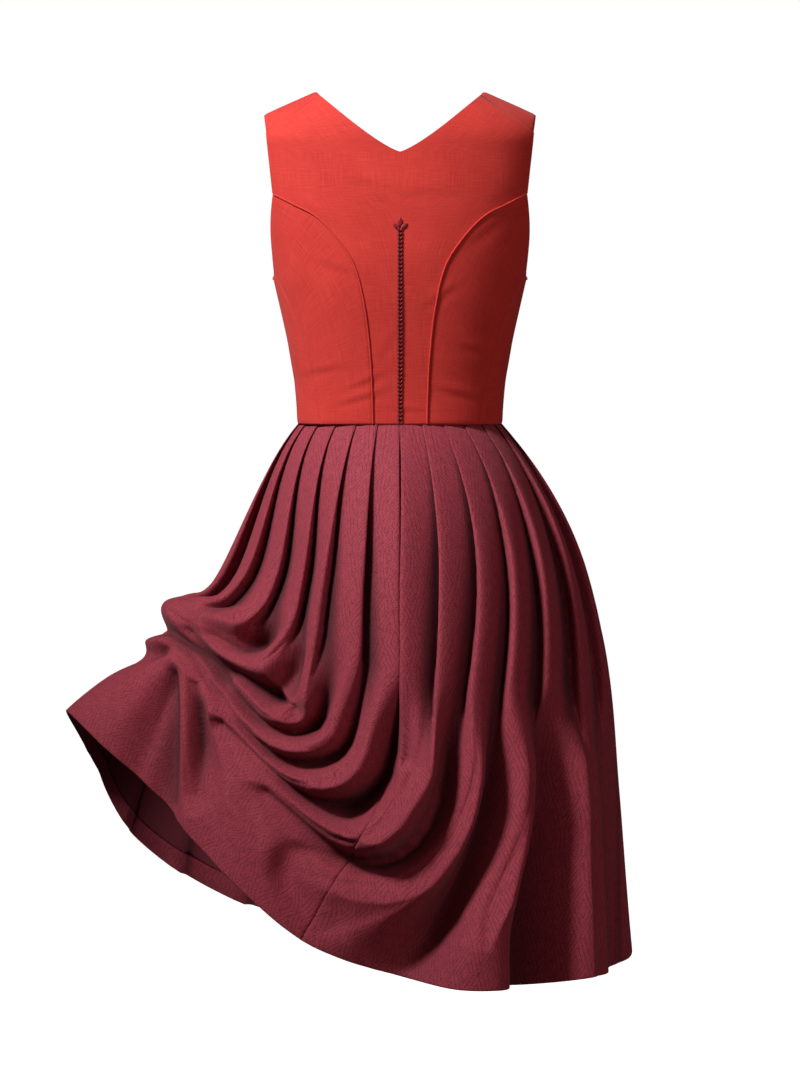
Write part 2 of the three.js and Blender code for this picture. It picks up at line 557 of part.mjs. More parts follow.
// Column places between two pleat numbers, on the side of the centre back that they lie on.
function columns(from, to, places) {
  const list = [from, to];
  for (let k = 0; k < HALF; k += 1) {
    for (const p of places) {
      for (const u of [k + p, -(k + p), PLEATS - (k + p)]) if (u > from && u < to) list.push(u);
    }
  }
  return [...new Set(list.map((u) => Number(u.toFixed(4))))].sort((a, b) => a - b);
}
const HEM_V = 1 - HEM_DEPTH / SKIRT_LENGTH;
const ROWS = [0, 0.02, 0.06, 0.12, 0.18, 0.24, 0.3, ...steps(17).map((s) => 0.35 + 0.45 * s),
  0.84, 0.88, 0.92, HEM_V - 0.004, HEM_V, 1];

// ---------- the dress ----------
const dirndl = new THREE.Group();
dirndl.name = 'dirndl';
const sides = [['left', -1], ['right', 1]];
const bodice = [backCentre(), ...sides.flatMap(([label, side]) => [
  sidePanel(`bodice_back_side_${label}`, side, sideLine, backLine, 4, 0),
  sidePanel(`bodice_front_side_${label}`, side, sideLine, frontLine, 6, 44),
  front(`bodice_front_${label}`, side),
])];
dirndl.add(...sewn(bodice, linen, BODICE_WALL));
for (const [label, side] of sides) {
  const line = backPrincess.map(([x, z]) => [side * x, z]);
  dirndl.add(strip(`piping_back_${label}`, linen, line, PIPING.width, PIPING.height, ROUND_ARCH));
}
const braidLine = backPrincess.filter(([, z]) => z < BRAID.topZ).map(([, z]) => [0, z]);
dirndl.add(strip('back_braid', silkThread, [...braidLine, [0, BRAID.topZ]], BRAID.width,
  BRAID.height, FLAT_ARCH));
dirndl.add(sprig());
dirndl.add(skirtPanel('skirt_back_left', columns(-6.5, 0, PLEAT_COLUMNS), ROWS));
dirndl.add(skirtPanel('skirt_back_right', columns(0, 6.5, PLEAT_COLUMNS), ROWS));
dirndl.add(skirtPanel('skirt_front', columns(6.5, 19.5, [0, 0.4, 0.685]), ROWS));

export default dirndl;
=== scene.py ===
# %% [markdown]
# # A dirndl in its worn form, seen from behind
#
# The dress has two halves. The bodice is orange-red slub linen, cut in seven panels, and the
# skirt is a burgundy jacquard with woven diamonds, set in 26 pressed pleats. At the wearer's
# left hip the skirt is hitched up, so its cloth hangs from there in round swags.
#
# Every piece is a surface over two parameters, worked out with numpy as whole arrays. Sizes are
# in millimetres and become metres where a mesh is made. The wearer faces +Y, +X is to the
# wearer's right, and the origin lies between the shoulders.

import bmesh
import bpy
import numpy as np
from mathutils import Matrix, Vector


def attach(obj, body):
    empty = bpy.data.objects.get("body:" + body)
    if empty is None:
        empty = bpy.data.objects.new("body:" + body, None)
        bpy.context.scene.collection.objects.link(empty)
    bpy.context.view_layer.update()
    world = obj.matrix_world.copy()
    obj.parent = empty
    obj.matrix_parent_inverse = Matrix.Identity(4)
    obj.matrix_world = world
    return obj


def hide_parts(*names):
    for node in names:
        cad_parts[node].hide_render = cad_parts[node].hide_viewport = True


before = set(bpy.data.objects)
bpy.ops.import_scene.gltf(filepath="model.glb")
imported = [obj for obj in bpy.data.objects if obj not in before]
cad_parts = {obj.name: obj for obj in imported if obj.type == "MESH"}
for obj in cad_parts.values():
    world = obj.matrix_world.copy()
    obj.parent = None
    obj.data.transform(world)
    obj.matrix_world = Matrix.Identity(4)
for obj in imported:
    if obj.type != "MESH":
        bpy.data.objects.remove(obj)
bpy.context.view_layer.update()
scene = bpy.context.scene
MM = 0.001

# %% [markdown]
# ## Camera
#
# The camera stands 4.5 m behind the dress, a little below the shoulders, and looks slightly
# down. The lens follows from how much of the dress's own plane the picture shows from top to
# bottom, so the picture can be measured.

# %% Camera
EYE = Vector((0, -4.5, -0.35))
AIM = Vector((0, 0, -0.5444))
SHOWN_HEIGHT = 1.33875          # metres from the top to the bottom of the picture
SENSOR = 24

camera_data = bpy.data.cameras.new("camera")
camera_data.sensor_fit = "VERTICAL"
camera_data.sensor_height = SENSOR
camera_data.lens = SENSOR * (AIM - EYE).length / SHOWN_HEIGHT
camera = bpy.data.objects.new("camera", camera_data)
camera.location = EYE
camera.rotation_euler = (AIM - EYE).to_track_quat("-Z", "Y").to_euler()
scene.collection.objects.link(camera)
scene.camera = camera
print("lens, mm:", round(camera_data.lens, 1))

# %% [markdown]
# ## Light
#
# A soft light from the upper left models the pleats. Its beam is narrow and aimed at the bodice,
# so the skirt grows darker downwards. A weak warm light from the right opens the shadows, and a
# third, from below, reaches inside the turned-up hem. The world shows white behind the dress but
# lights it only gently and warmly, or the creases would go grey.

# %% Light
def add_light(name, kind, place, aim, watts, colour=(1, 1, 1)):
    """A light at one place, aimed at another. Its settings come back for changes."""
    data = bpy.data.lights.new(name, kind)
    data.energy = watts
    data.color = colour
    light = bpy.data.objects.new(name, data)
    light.location = place
    light.rotation_euler = (Vector(aim) - Vector(place)).to_track_quat("-Z", "Y").to_euler()
    scene.collection.objects.link(light)
    return data


key = add_light("key", "AREA", (-2.5, -1.9, 2.5), (0.1, 0, -0.22), 12)
key.size = 0.9
key.spread = 0.6
add_light("fill", "AREA", (2.6, -3.4, 0.2), (0, 0, -0.6), 40, (1, 0.72, 0.7)).size = 2.0
under = add_light("under the hem", "SPOT", (-0.6, -1.3, -1.36), (-0.21, 0.12, -1.0), 80)
under.spot_size = 0.2
under.spot_blend = 1.0
under.shadow_soft_size = 0.1

world = bpy.data.worlds.new("studio")
scene.world = world
world.use_nodes = True
world_nodes = world.node_tree.nodes
backdrop = world_nodes["Background"]
seen = world_nodes.new("ShaderNodeLightPath")
strength = world_nodes.new("ShaderNodeMapRange")
strength.inputs["To Min"].default_value = 0.05
strength.inputs["To Max"].default_value = 1.0
warm = world_nodes.new("ShaderNodeMix")
warm.data_type = "RGBA"
warm.inputs[6].default_value = (1, 0.68, 0.66, 1)
warm.inputs[7].default_value = (1, 1, 1, 1)
world.node_tree.links.new(seen.outputs["Is Camera Ray"], warm.inputs[0])
world.node_tree.links.new(warm.outputs[2], backdrop.inputs["Color"])
world.node_tree.links.new(seen.outputs["Is Camera Ray"], strength.inputs["Value"])
world.node_tree.links.new(strength.outputs["Result"], backdrop.inputs["Strength"])
scene.view_settings.view_transform = "Standard"
scene.view_settings.look = "None"

# %% [markdown]
# ## Node helpers
#
# A finish is a Principled shader whose colour and bump come from a few textures. These helpers
# add a node, fill its inputs and name the usual steps, so that each finish reads like a recipe.

# %% Node helpers
def add_node(tree, kind, inputs, **settings):
    """Adds a node, sets its options, and fills its inputs with values or other nodes' outputs."""
    node = tree.nodes.new(kind)
    for key, value in settings.items():
        setattr(node, key, value)
    for key, value in inputs.items():
        if isinstance(value, bpy.types.NodeSocket):
            tree.links.new(value, node.inputs[key])
        else:
            node.inputs[key].default_value = value
    return node


def calc(tree, operation, a, b=0.0, c=0.0):
    """One step of arithmetic on node outputs or numbers."""
    return add_node(tree, "ShaderNodeMath", {0: a, 1: b, 2: c}, operation=operation).outputs[0]


def mix_colour(tree, factor, a, b):
    """A colour that goes from a to b as the factor goes from 0 to 1."""
    mix = add_node(tree, "ShaderNodeMix", {0: factor, 6: a, 7: b}, data_type="RGBA")
    return mix.outputs[2]


def cloth_places(tree):
    """Places on the flat cloth in millimetres, from the piece's own UV map in metres."""
    uv = add_node(tree, "ShaderNodeUVMap", {}, uv_map="cut")
    scaled = add_node(tree, "ShaderNodeVectorMath", {0: uv.outputs[0], 1: (1000, 1000, 0)},
                      operation="MULTIPLY")
    return scaled.outputs[0]


def streaks(tree, places, length, thickness, detail=3.0):
    """Noise between 0 and 1 whose marks are about length across and thickness along the cloth."""
    stretched = add_node(tree, "ShaderNodeVectorMath",
                         {0: places, 1: (1 / length, 1 / thickness, 1)}, operation="MULTIPLY")
    noise = add_node(tree, "ShaderNodeTexNoise",
                     {"Vector": stretched.outputs[0], "Scale": 1.0, "Detail": detail})
    return noise.outputs["Fac"]


def new_finish(name, roughness, sheen):
    """A cloth finish: the material, its node tree and its shader."""
    material = bpy.data.materials.new(name)
    material.use_nodes = True
    shader = material.node_tree.nodes["Principled BSDF"]
    shader.inputs["Roughness"].default_value = roughness
    shader.inputs["Specular IOR Level"].default_value = 0.25
    shader.inputs["Sheen Weight"].default_value = sheen
    shader.inputs["Sheen Roughness"].default_value = 0.5
    return material, material.node_tree, shader


def relief_from(tree, shader, height, depth, strength):
    """A bump of the given depth in metres."""
    bump = add_node(tree, "ShaderNodeBump",
                    {"Height": height, "Distance": depth, "Strength": strength})
    tree.links.new(bump.outputs["Normal"], shader.inputs["Normal"])


def srgb(red, green, blue):
    """A colour as the eye reads it, 0 to 255, in the linear values that Blender wants."""
    share = np.array([red, green, blue]) / 255
    linear = np.where(share <= 0.04045, share / 12.92, ((share + 0.055) / 1.055) ** 2.4)
    return (*linear.tolist(), 1.0)


# %% [markdown]
# ## Slub linen
#
# Linen yarn is uneven: here and there a thread swells into a slub and shows as a short streak,
# mostly along the weft. Two stretched noises give those streaks in both directions, a fine one
# gives the plain weave, and the same values drive a shallow bump.

# %% Slub linen
LINEN_LIGHT = srgb(214, 66, 56)
LINEN_DARK = srgb(176, 38, 34)

linen, tree, shader = new_finish("slub_linen", 0.85, 0.05)
places = cloth_places(tree)
weft = streaks(tree, places, 26, 0.9)
warp = streaks(tree, places, 0.9, 34)
grain = streaks(tree, places, 0.7, 0.7, 2.0)
cloudy = streaks(tree, places, 60, 60, 1.0)
tone = calc(tree, "MULTIPLY", weft, 0.75)
tone = calc(tree, "MULTIPLY_ADD", warp, 0.7, tone)
tone = calc(tree, "MULTIPLY_ADD", grain, 0.55, tone)
tone = calc(tree, "MULTIPLY_ADD", cloudy, 0.3, tone)
tone = add_node(tree, "ShaderNodeMapRange", {"Value": tone, "From Min": 0.8, "From Max": 1.5})
tree.links.new(mix_colour(tree, tone.outputs[0], LINEN_DARK, LINEN_LIGHT),
               shader.inputs["Base Color"])
relief_from(tree, shader, tone.outputs[0], 0.0003, 0.5)

# %% [markdown]
# ## Diamond jacquard
#
# The cloth is woven from dark and pale yarns, which gives it a speckle, and the weave draws
# nested diamonds 32 mm wide and 68 mm tall. Two slanting coordinates, x/32 + y/68 and
# x/32 - y/68, cut the cloth into diamond cells. The distance from a cell's middle gives the
# nested rings, and the twill lines lean the other way in every second ring.
#
# Real pleats and swags lap over each other and are nearly black inside. These are single folds,
# which the light reaches, so that shade is painted: each skirt panel carries an attribute of
# painted shade, for how deep in a crease a point lies, and the colour goes to near black with it.

# %% Diamond jacquard
DIAMOND_WIDTH = 32.0
DIAMOND_HEIGHT = 68.0
RINGS = 3.0
JACQUARD_PALE = srgb(176, 66, 82)
JACQUARD_DARK = srgb(86, 14, 28)
# The next colour is painted shade, put into the skirt's creases.
JACQUARD_PAINTED_SHADE = srgb(30, 3, 8)
WRONG_SIDE = srgb(122, 44, 54)

jacquard, tree, shader = new_finish("diamond_jacquard", 0.75, 0.06)
places = cloth_places(tree)
split = add_node(tree, "ShaderNodeSeparateXYZ", {0: places})
across = calc(tree, "DIVIDE", split.outputs[0], DIAMOND_WIDTH)
along = calc(tree, "DIVIDE", split.outputs[1], DIAMOND_HEIGHT)


def from_middle(tree, value):
    """How far a coordinate is from the middle of its cell, 0 to 1."""
    centred = calc(tree, "SUBTRACT", calc(tree, "FRACT", value), 0.5)
    return calc(tree, "MULTIPLY", calc(tree, "ABSOLUTE", centred), 2.0)


ring = calc(tree, "MAXIMUM", from_middle(tree, calc(tree, "ADD", across, along)),
            from_middle(tree, calc(tree, "SUBTRACT", across, along)))
ring = calc(tree, "MULTIPLY", ring, RINGS)
ring_line = add_node(tree, "ShaderNodeMapRange",
                     {"Value": from_middle(tree, ring), "From Min": 0.7, "From Max": 1.0})
lean = calc(tree, "MULTIPLY_ADD", calc(tree, "MODULO", calc(tree, "FLOOR", ring), 2.0), 2.0, -1.0)
twill = calc(tree, "MULTIPLY_ADD", split.outputs[0], lean, split.outputs[1])
twill = from_middle(tree, calc(tree, "DIVIDE", twill, 2.6))
speckle = streaks(tree, places, 0.9, 1.0, 2.0)
melange = streaks(tree, places, 7, 9, 3.0)
tone = calc(tree, "MULTIPLY_ADD", speckle, 2.5, -0.85)
tone = calc(tree, "MULTIPLY_ADD", melange, 0.45, tone)
tone = calc(tree, "MULTIPLY_ADD", twill, 0.14, tone)
tone = calc(tree, "MULTIPLY_ADD", ring_line.outputs[0], -0.35, tone)
tone = add_node(tree, "ShaderNodeMapRange", {"Value": tone, "From Min": 0.2, "From Max": 1.1})
woven = mix_colour(tree, tone.outputs[0], JACQUARD_DARK, JACQUARD_PALE)
# Painted shade: the woven colour goes towards near black where the attribute marks a crease.
painted_shade = add_node(tree, "ShaderNodeAttribute", {}, attribute_name="painted_shade")
tree.links.new(mix_colour(tree, painted_shade.outputs["Fac"], woven, JACQUARD_PAINTED_SHADE),
               shader.inputs["Base Color"])
relief_from(tree, shader, tone.outputs[0], 0.0004, 0.5)

jacquard_wrong, tree, shader = new_finish("jacquard_wrong_side", 0.8, 0.05)
places = cloth_places(tree)
grain = streaks(tree, places, 1.2, 1.2, 2.0)
darker = mix_colour(tree, grain, srgb(84, 22, 38), WRONG_SIDE)
tree.links.new(darker, shader.inputs["Base Color"])
relief_from(tree, shader, grain, 0.0002, 0.4)

# %% [markdown]
# ## Silk thread
#
# The embroidery thread is glossier than the linen. Fine lines stand for its twist. The padded
# band under the stitches is a plain darker silk, so that the stitches stand out from it.

# %% Silk thread
silk, tree, shader = new_finish("silk_thread", 0.42, 0.1)
places = cloth_places(tree)
twist = streaks(tree, places, 0.25, 3.0, 1.0)
tree.links.new(mix_colour(tree, twist, srgb(92, 8, 18), srgb(168, 34, 42)),
               shader.inputs["Base Color"])
relief_from(tree, shader, twist, 0.0002, 0.6)

silk_ground, tree, shader = new_finish("silk_ground", 0.6, 0.05)
shader.inputs["Base Color"].default_value = srgb(70, 6, 14)


# %% [markdown]
# ## Curves and grids
#
# A table with a few rows becomes a smooth curve with cubic pieces. Each row's slope is the mean
# of the slopes beside it, so the curve runs evenly through all rows.

# %% Curves and grids
def ramp(start, end, x):
    """0 before start, 1 after end, and the smooth step 3t^2 - 2t^3 between them."""
    t = np.clip((x - start) / (end - start), 0, 1)
    return t * t * (3 - 2 * t)


def through(knots, rows, at, first_slope=None):
    """A curve through rows at rising knots: on each piece the cubic with the rows' values and
    slopes at its ends, where a slope is the mean of its two neighbours', weighted by the other
    side's length. 'at' may have any shape, and the result has one more axis."""
    knots = np.asarray(knots, float)
    rows = np.asarray(rows, float)
    at = np.asarray(at, float)
    length = np.diff(knots)
    rise = np.diff(rows, axis=0) / length[:, None]
    slope = np.empty_like(rows)
    slope[0] = rise[0] if first_slope is None else first_slope
    slope[-1] = rise[-1]
    weight = (length[1:] / (length[1:] + length[:-1]))[:, None]
    slope[1:-1] = rise[:-1] * weight + rise[1:] * (1 - weight)
    k = np.clip(np.searchsorted(knots, at, side="right") - 1, 0, len(knots) - 2)
    span = length[k][..., None]
    s = ((at - knots[k]) / length[k])[..., None]
    return (rows[k] * (2 * s**3 - 3 * s**2 + 1) + rows[k + 1] * (3 * s**2 - 2 * s**3)
            + slope[k] * span * (s**3 - 2 * s**2 + s) + slope[k + 1] * span * (s**3 - s**2))


def eased(count, crowding=0.7):
    """Numbers from 0 to 1 that lie closer together at both ends: x - crowding*sin(2 pi x)/2 pi."""
    x = np.linspace(0, 1, count)
    return x - crowding * np.sin(2 * np.pi * x) / (2 * np.pi)


def normals(grid):
    """Unit outward directions of a grid whose rows run upwards and columns to the right."""
    n = np.cross(np.gradient(grid, axis=1), np.gradient(grid, axis=0))
    return n / (np.linalg.norm(n, axis=-1, keepdims=True) + 1e-12)


def arc(grid, axis):
    """Distance walked along one axis of a grid, from 0 at its start."""
    steps = np.linalg.norm(np.diff(grid, axis=axis), axis=-1)
    pad = [(0, 0), (0, 0)]
    pad[axis] = (1, 0)
    return np.pad(np.cumsum(steps, axis=axis), pad)


def add_mesh(name, points, faces, uv, materials):
    """A smooth mesh from points in millimetres and faces, with the UV of each point in metres."""
    mesh = bpy.data.meshes.new(name)
    mesh.from_pydata(points.reshape(-1, 3) * MM, [], faces)
    corners = np.empty(len(mesh.loops), dtype=np.int32)
    mesh.loops.foreach_get("vertex_index", corners)
    layer = mesh.uv_layers.new(name="cut")
    layer.data.foreach_set("uv", uv.reshape(-1, 2)[corners].ravel().astype(np.float32))
    mesh.polygons.foreach_set("use_smooth", np.ones(len(mesh.polygons), dtype=bool))
    for material in materials:
        mesh.materials.append(material)
    mesh.update()
    piece = bpy.data.objects.new(name, mesh)
    scene.collection.objects.link(piece)
    return piece


def grid_faces(rows, columns):
    """The quads of a grid, counterclockwise as seen from outside."""
    index = np.arange(rows * columns).reshape(rows, columns)
    corners = [index[:-1, :-1], index[:-1, 1:], index[1:, 1:], index[1:, :-1]]
    return np.stack(corners, axis=-1).reshape(-1, 4)


def weld(piece):
    """Joins points that lie on each other, as at the ends of a stitch."""
    shape = bmesh.new()
    shape.from_mesh(piece.data)
    bmesh.ops.remove_doubles(shape, verts=shape.verts, dist=1e-6)
    shape.to_mesh(piece.data)
    shape.free()


def wear(piece, nodes):
    """The piece rides on the dress and stands for its CAD nodes."""
    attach(piece, "root")
    if nodes:
        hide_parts(*nodes)
    return piece


def thicken(piece, wall, inner_material):
    """Gives a cloth its thickness, inwards from the surface."""
    solid = piece.modifiers.new("cloth thickness", "SOLIDIFY")
    solid.thickness = wall * MM
    solid.offset = -1
    solid.material_offset = inner_material
    solid.material_offset_rim = 0


# %% [markdown]
# ## The form under the bodice
#
# The bodice sits on a form whose level sections are squarish ovals: the depth at x is a
# superellipse, (1 - |x / half width| ^ 2.3) ^ (1 / 2.3). Above the shoulder blades the depth
# shrinks like a quarter circle, so that the straps turn over the shoulders.

# %% The form under the bodice
SECTIONS = np.array([   # height, half width, depth of the back, depth of the front
    [-405, 128, 92, 92], [-375, 129.5, 93, 94], [-350, 132, 95, 98], [-325, 136.5, 98, 105],
    [-300, 141, 101, 112], [-275, 146.5, 104, 117], [-250, 152, 107, 119], [-225, 157.5, 109, 117],
    [-200, 162.5, 110, 113], [-165, 170, 109.5, 106], [-119, 177, 107, 97], [-60, 183, 100, 88],
    [20, 187, 92, 80]])
SECTION_POWER = 2.3
STRAP_TURN_Z = -60
SHOULDER_Z = 8
NECK_HALF_WIDTH = 105
SHOULDER_SLOPE = 0.45
BUST = {"x": 74, "z": -255, "spread_x": 44, "spread_z": 46, "height": 15}


def shoulder_top(x):
    """Height of the shoulder at x: it falls evenly from the neck outwards."""
    return SHOULDER_Z + SHOULDER_SLOPE * (NECK_HALF_WIDTH - np.abs(x))


def body_at(x, z, side):
    """The form's point over x and z, on the back (side -1) or the front (side 1)."""
    x, z, side = np.broadcast_arrays(x, z, side)
    half_width, back, front = np.moveaxis(through(SECTIONS[:, 0], SECTIONS[:, 1:], z), -1, 0)
    share = np.clip(1 - np.abs(x / half_width) ** SECTION_POWER, 0, None) ** (1 / SECTION_POWER)
    rise = np.clip((z - STRAP_TURN_Z) / (shoulder_top(x) - STRAP_TURN_Z), 0, 1)
    depth = np.where(side < 0, back, front) * share * np.sqrt(1 - rise**2)
    across = (np.abs(x) - BUST["x"]) / BUST["spread_x"]
    up = (z - BUST["z"]) / BUST["spread_z"]
    bust = BUST["height"] * np.exp(-across**2 - up**2) * share**0.3
    return np.stack([x, side * (depth + np.where(side > 0, bust, 0)), z], axis=-1)


def body_round(angle, z):
    """The form's point at an angle from the centre back, which also reaches the sides."""
    half_width = through(SECTIONS[:, 0], SECTIONS[:, 1:2], z)[..., 0]
    x = half_width * np.abs(np.sin(angle)) ** (2 / SECTION_POWER) * np.sign(np.sin(angle))
    return body_at(x, z, np.where(np.cos(angle) > 0, -1, 1))


def angle_of(x, z, side):
    """The angle from the centre back at which body_round reaches x."""
    half_width = through(SECTIONS[:, 0], SECTIONS[:, 1:2], z)[..., 0]
    sine = np.minimum(1, np.abs(x) / half_width) ** (SECTION_POWER / 2)
    return np.arcsin(sine) if side < 0 else np.pi - np.arcsin(sine)


def strap_at(x, turn):
    """A strap's point at x; turn is 90 degrees at the back, 0 on the shoulder, -90 in front."""
    top = shoulder_top(x)
    z = STRAP_TURN_Z + (top - STRAP_TURN_Z) * np.cos(np.radians(turn))
    return body_at(x, np.minimum(z, top - 1e-4), np.where(turn > 0, -1, 1))


# %% [markdown]
# ## The bodice's seams
#
# Each seam is a smooth line through a few places. The panels on both of its sides are made from
# the same line, so they meet along their whole length. A pressed seam lies a little deeper than
# the cloth beside it, so every panel but the centre back rolls in at its edges.

# %% The bodice's seams
SEAM_ROWS = 130
ROLL_DEPTH = 0.8
ROLL_WIDTH = 2.4
BACK_PRINCESS = [(33, -405), (34, -366), (36, -325), (42, -268), (54, -215), (74, -181),
                 (102, -151), (130, -135.5), (157, -121)]                  # x, z
FRONT_PRINCESS = [(45, -405), (49, -355), (58, -305), (76, -255), (94, -215), (112, -181),
                  (131, -150), (150, -125)]                                # x, z
SIDE_SEAM = [(47, -405), (51, -360), (55.3, -317), (62, -265), (69, -235), (80, -215)]
BACK_ARMHOLE = [(-121, 157), (-92, 160), (-65, 163), (-46, 165)]           # z, x
FRONT_ARMHOLE = [(-125, 150), (-100, 152), (-80, 155), (-60, 159)]         # z, x
SHOULDER_OUTER = (165, 70.5)                                               # x, turn
SHOULDER_INNER = (99.5, 30)
STRAP = [(-90, 97, 159), (-45, 101.5, 165), (0, 104.5, 169), (42, 104.5, 167.5), (70.5, 99.5, 165)]
BACK_V_Z = -72.5
FRONT_V_Z = -150


def seam_line(rows, t):
    """A seam's two coordinates at shares t of its rows."""
    return through(np.linspace(0, 1, len(rows)), rows, t).T


def at_height(table, z):
    """A table's other columns at height z."""
    table = np.asarray(table, float)
    return through(table[:, 0], table[:, 1:], z)


def rolled(grid):
    """The panel with its edges rolled in: the depth falls as a bell curve with the distance
    from the nearest edge."""
    across = arc(grid, 1)
    along = arc(grid, 0)
    edge = np.minimum.reduce([across, across[:, -1:] - across, along, along[-1:] - along])
    return grid - normals(grid) * (ROLL_DEPTH * np.exp(-((edge / ROLL_WIDTH) ** 2)))[..., None]


# %% [markdown]
# ## Small folds of the worn linen
#
# Worn linen is never quite smooth. A few soft creases lie where the body bends, and a slow
# unevenness runs over the whole cloth. Each crease is a bell-shaped ridge beside a bell-shaped
# groove.

# %% Small folds of the worn linen
CREASES_IN_LINEN = [   # x, z, length, width, slope in degrees, height
    (-80, -212, 26, 7, -20, 0.7), (-42, -352, 22, 6, 24, 0.8), (-48, -372, 30, 6, 16, 0.9),
    (52, -246, 24, 7, 32, 0.7), (70, -366, 30, 7, -14, 0.8), (12, -386, 26, 5, -4, 0.6),
    (-100, -150, 30, 9, -35, 0.7), (104, -168, 30, 9, 38, 0.7), (-14, -306, 22, 8, 60, 0.4),
    (-96, -338, 26, 7, 10, 0.8), (98, -312, 24, 7, -10, 0.7), (26, -122, 40, 10, 5, 0.5),
    (-40, -110, 36, 9, -8, 0.5)]


def linen_unevenness(grid):
    """Height of the small folds over x and z."""
    x, z = grid[..., 0], grid[..., 2]
    height = 0.35 * np.sin(x / 23 + 1.7 * np.sin(z / 61)) * np.sin(z / 37 + 1.3 * np.sin(x / 47))
    for cx, cz, length, width, slope, tall in CREASES_IN_LINEN:
        c, s = np.cos(np.radians(slope)), np.sin(np.radians(slope))
        a = ((x - cx) * c + (z - cz) * s) / length
        b = ((z - cz) * c - (x - cx) * s) / width
        height = height + tall * 1.6 * b * np.exp(-a * a - b * b)
    return height


def flat_places(grid):
    """The UV map of a panel: the distance from its middle column, and the distance walked up,
    both in metres."""
    across = arc(grid, 1)
    along = arc(grid, 0).mean(axis=1, keepdims=True) + 0 * across
    middle = across[:, across.shape[1] // 2][:, None]
    return np.stack([across - middle, along], axis=-1) * MM


# %% [markdown]
# ## Bodice panels
#
# The centre back is cut in one piece with its two half straps. Its grid is made as two halves
# that meet at the centre, because the V neckline divides it. Each front runs over the shoulder
# to the seam that is set towards the back.

# %% Bodice panels
LINEN_WALL = 1.5
NECK_CURVE = 1.27


def half_back(side):
    """Half the centre back. Below the V a row runs from the centre to the princess seam or the
    armhole, and above it from the neckline to the strap's outer edge."""
    seam_x, seam_z = seam_line(BACK_PRINCESS, np.linspace(0, 1, 110))
    low_z = np.linspace(BACK_PRINCESS[-1][1], BACK_V_Z, 26)[1:]
    t = np.linspace(0, 1, 42)[1:]
    turn = SHOULDER_INNER[1], SHOULDER_OUTER[1]
    inner_top = strap_at(np.array(SHOULDER_INNER[0]), np.array(turn[0]))[2]
    outer_top = strap_at(np.array(SHOULDER_OUTER[0]), np.array(turn[1]))[2]
    inner_x = np.concatenate([0 * seam_x, 0 * low_z, SHOULDER_INNER[0] * t])
    inner_z = np.concatenate([seam_z, low_z, BACK_V_Z + (inner_top - BACK_V_Z) * t**NECK_CURVE])
    low_x = at_height(BACK_ARMHOLE, low_z)[:, 0]
    top_x = low_x[-1] + (SHOULDER_OUTER[0] - low_x[-1]) * t
    outer_x = np.concatenate([seam_x, low_x, top_x])
    outer_z = np.concatenate([seam_z, low_z, BACK_V_Z + (outer_top - BACK_V_Z) * t])
    s = eased(64)
    x = side * (inner_x[:, None] * (1 - s) + outer_x[:, None] * s)
    z = inner_z[:, None] * (1 - s) + outer_z[:, None] * s
    grid = body_at(x, z, -1)
    return grid if side > 0 else grid[:, ::-1]


def side_panel(side, seam_a, seam_b, sag):
    """A panel between two seams given as angle and height. Its upper edge dips by sag."""
    t = np.linspace(0, 1, SEAM_ROWS)[:, None]
    s = eased(56)[None, :]
    angle = seam_a[0][:, None] * (1 - s) + seam_b[0][:, None] * s
    z = seam_a[1][:, None] * (1 - s) + seam_b[1][:, None] * s - sag * 4 * s * (1 - s) * t**3
    grid = body_round(side * angle, z)
    left_to_right = (seam_b[0][0] > seam_a[0][0]) == (side > 0)
    return grid if left_to_right else grid[:, ::-1]


def front_panel(side):
    """A front: level rows up to the strap, then rows that turn over the shoulder."""
    s = eased(56)[None, :]
    seam_x, seam_z = seam_line(FRONT_PRINCESS, np.linspace(0, 1, 100))
    low_z = np.linspace(seam_z[-1], STRAP_TURN_Z, 24)[1:]
    z = np.concatenate([seam_z, low_z])
    outer = np.concatenate([seam_x, at_height(FRONT_ARMHOLE, low_z)[:, 0]])
    rise = np.clip((z - FRONT_V_Z) / (STRAP_TURN_Z - FRONT_V_Z), 0, 1)
    inner = STRAP[0][1] * rise**0.85
    lower = body_at(side * (inner[:, None] * (1 - s) + outer[:, None] * s), z[:, None], 1)
    share = np.linspace(0, 1, 70)[1:, None]
    end_turn = SHOULDER_INNER[1] * (1 - s) + SHOULDER_OUTER[1] * s
    turn = -90 + (end_turn + 90) * share
    edges = at_height(STRAP, -90 + (SHOULDER_OUTER[1] + 90) * share[:, 0])
    end_x = SHOULDER_INNER[0] * (1 - s) + SHOULDER_OUTER[0] * s
    x = edges[:, :1] * (1 - s) + edges[:, 1:] * s
    x = x + (end_x - x[-1:]) * ramp(0.6, 1, share)
    grid = np.concatenate([lower, strap_at(side * x, turn)])
    return grid if side < 0 else grid[:, ::-1]


def add_linen_panel(name, grids):
    """A linen panel from one grid, or from grids that are joined where they touch."""
    points, faces, uv, count = [], [], [], 0
    for grid in grids:
        shaped = rolled(grid) if len(grids) == 1 else grid
        shaped = shaped + normals(grid) * linen_unevenness(grid)[..., None]
        points.append(shaped.reshape(-1, 3))
        uv.append(flat_places(grid).reshape(-1, 2))
        faces.append(grid_faces(*grid.shape[:2]) + count)
        count += points[-1].shape[0]
    panel = add_mesh(name, np.concatenate(points), np.concatenate(faces), np.concatenate(uv),
                     [linen])
    weld(panel)
    thicken(panel, LINEN_WALL, 0)
    wear(panel, [name])
    return panel


def panel_area(grid):
    """The area of a grid in square metres: half the cross product of each quad's diagonals."""
    one = grid[1:, 1:] - grid[:-1, :-1]
    other = grid[1:, :-1] - grid[:-1, 1:]
    return np.linalg.norm(np.cross(one, other), axis=-1).sum() / 2 * MM * MM


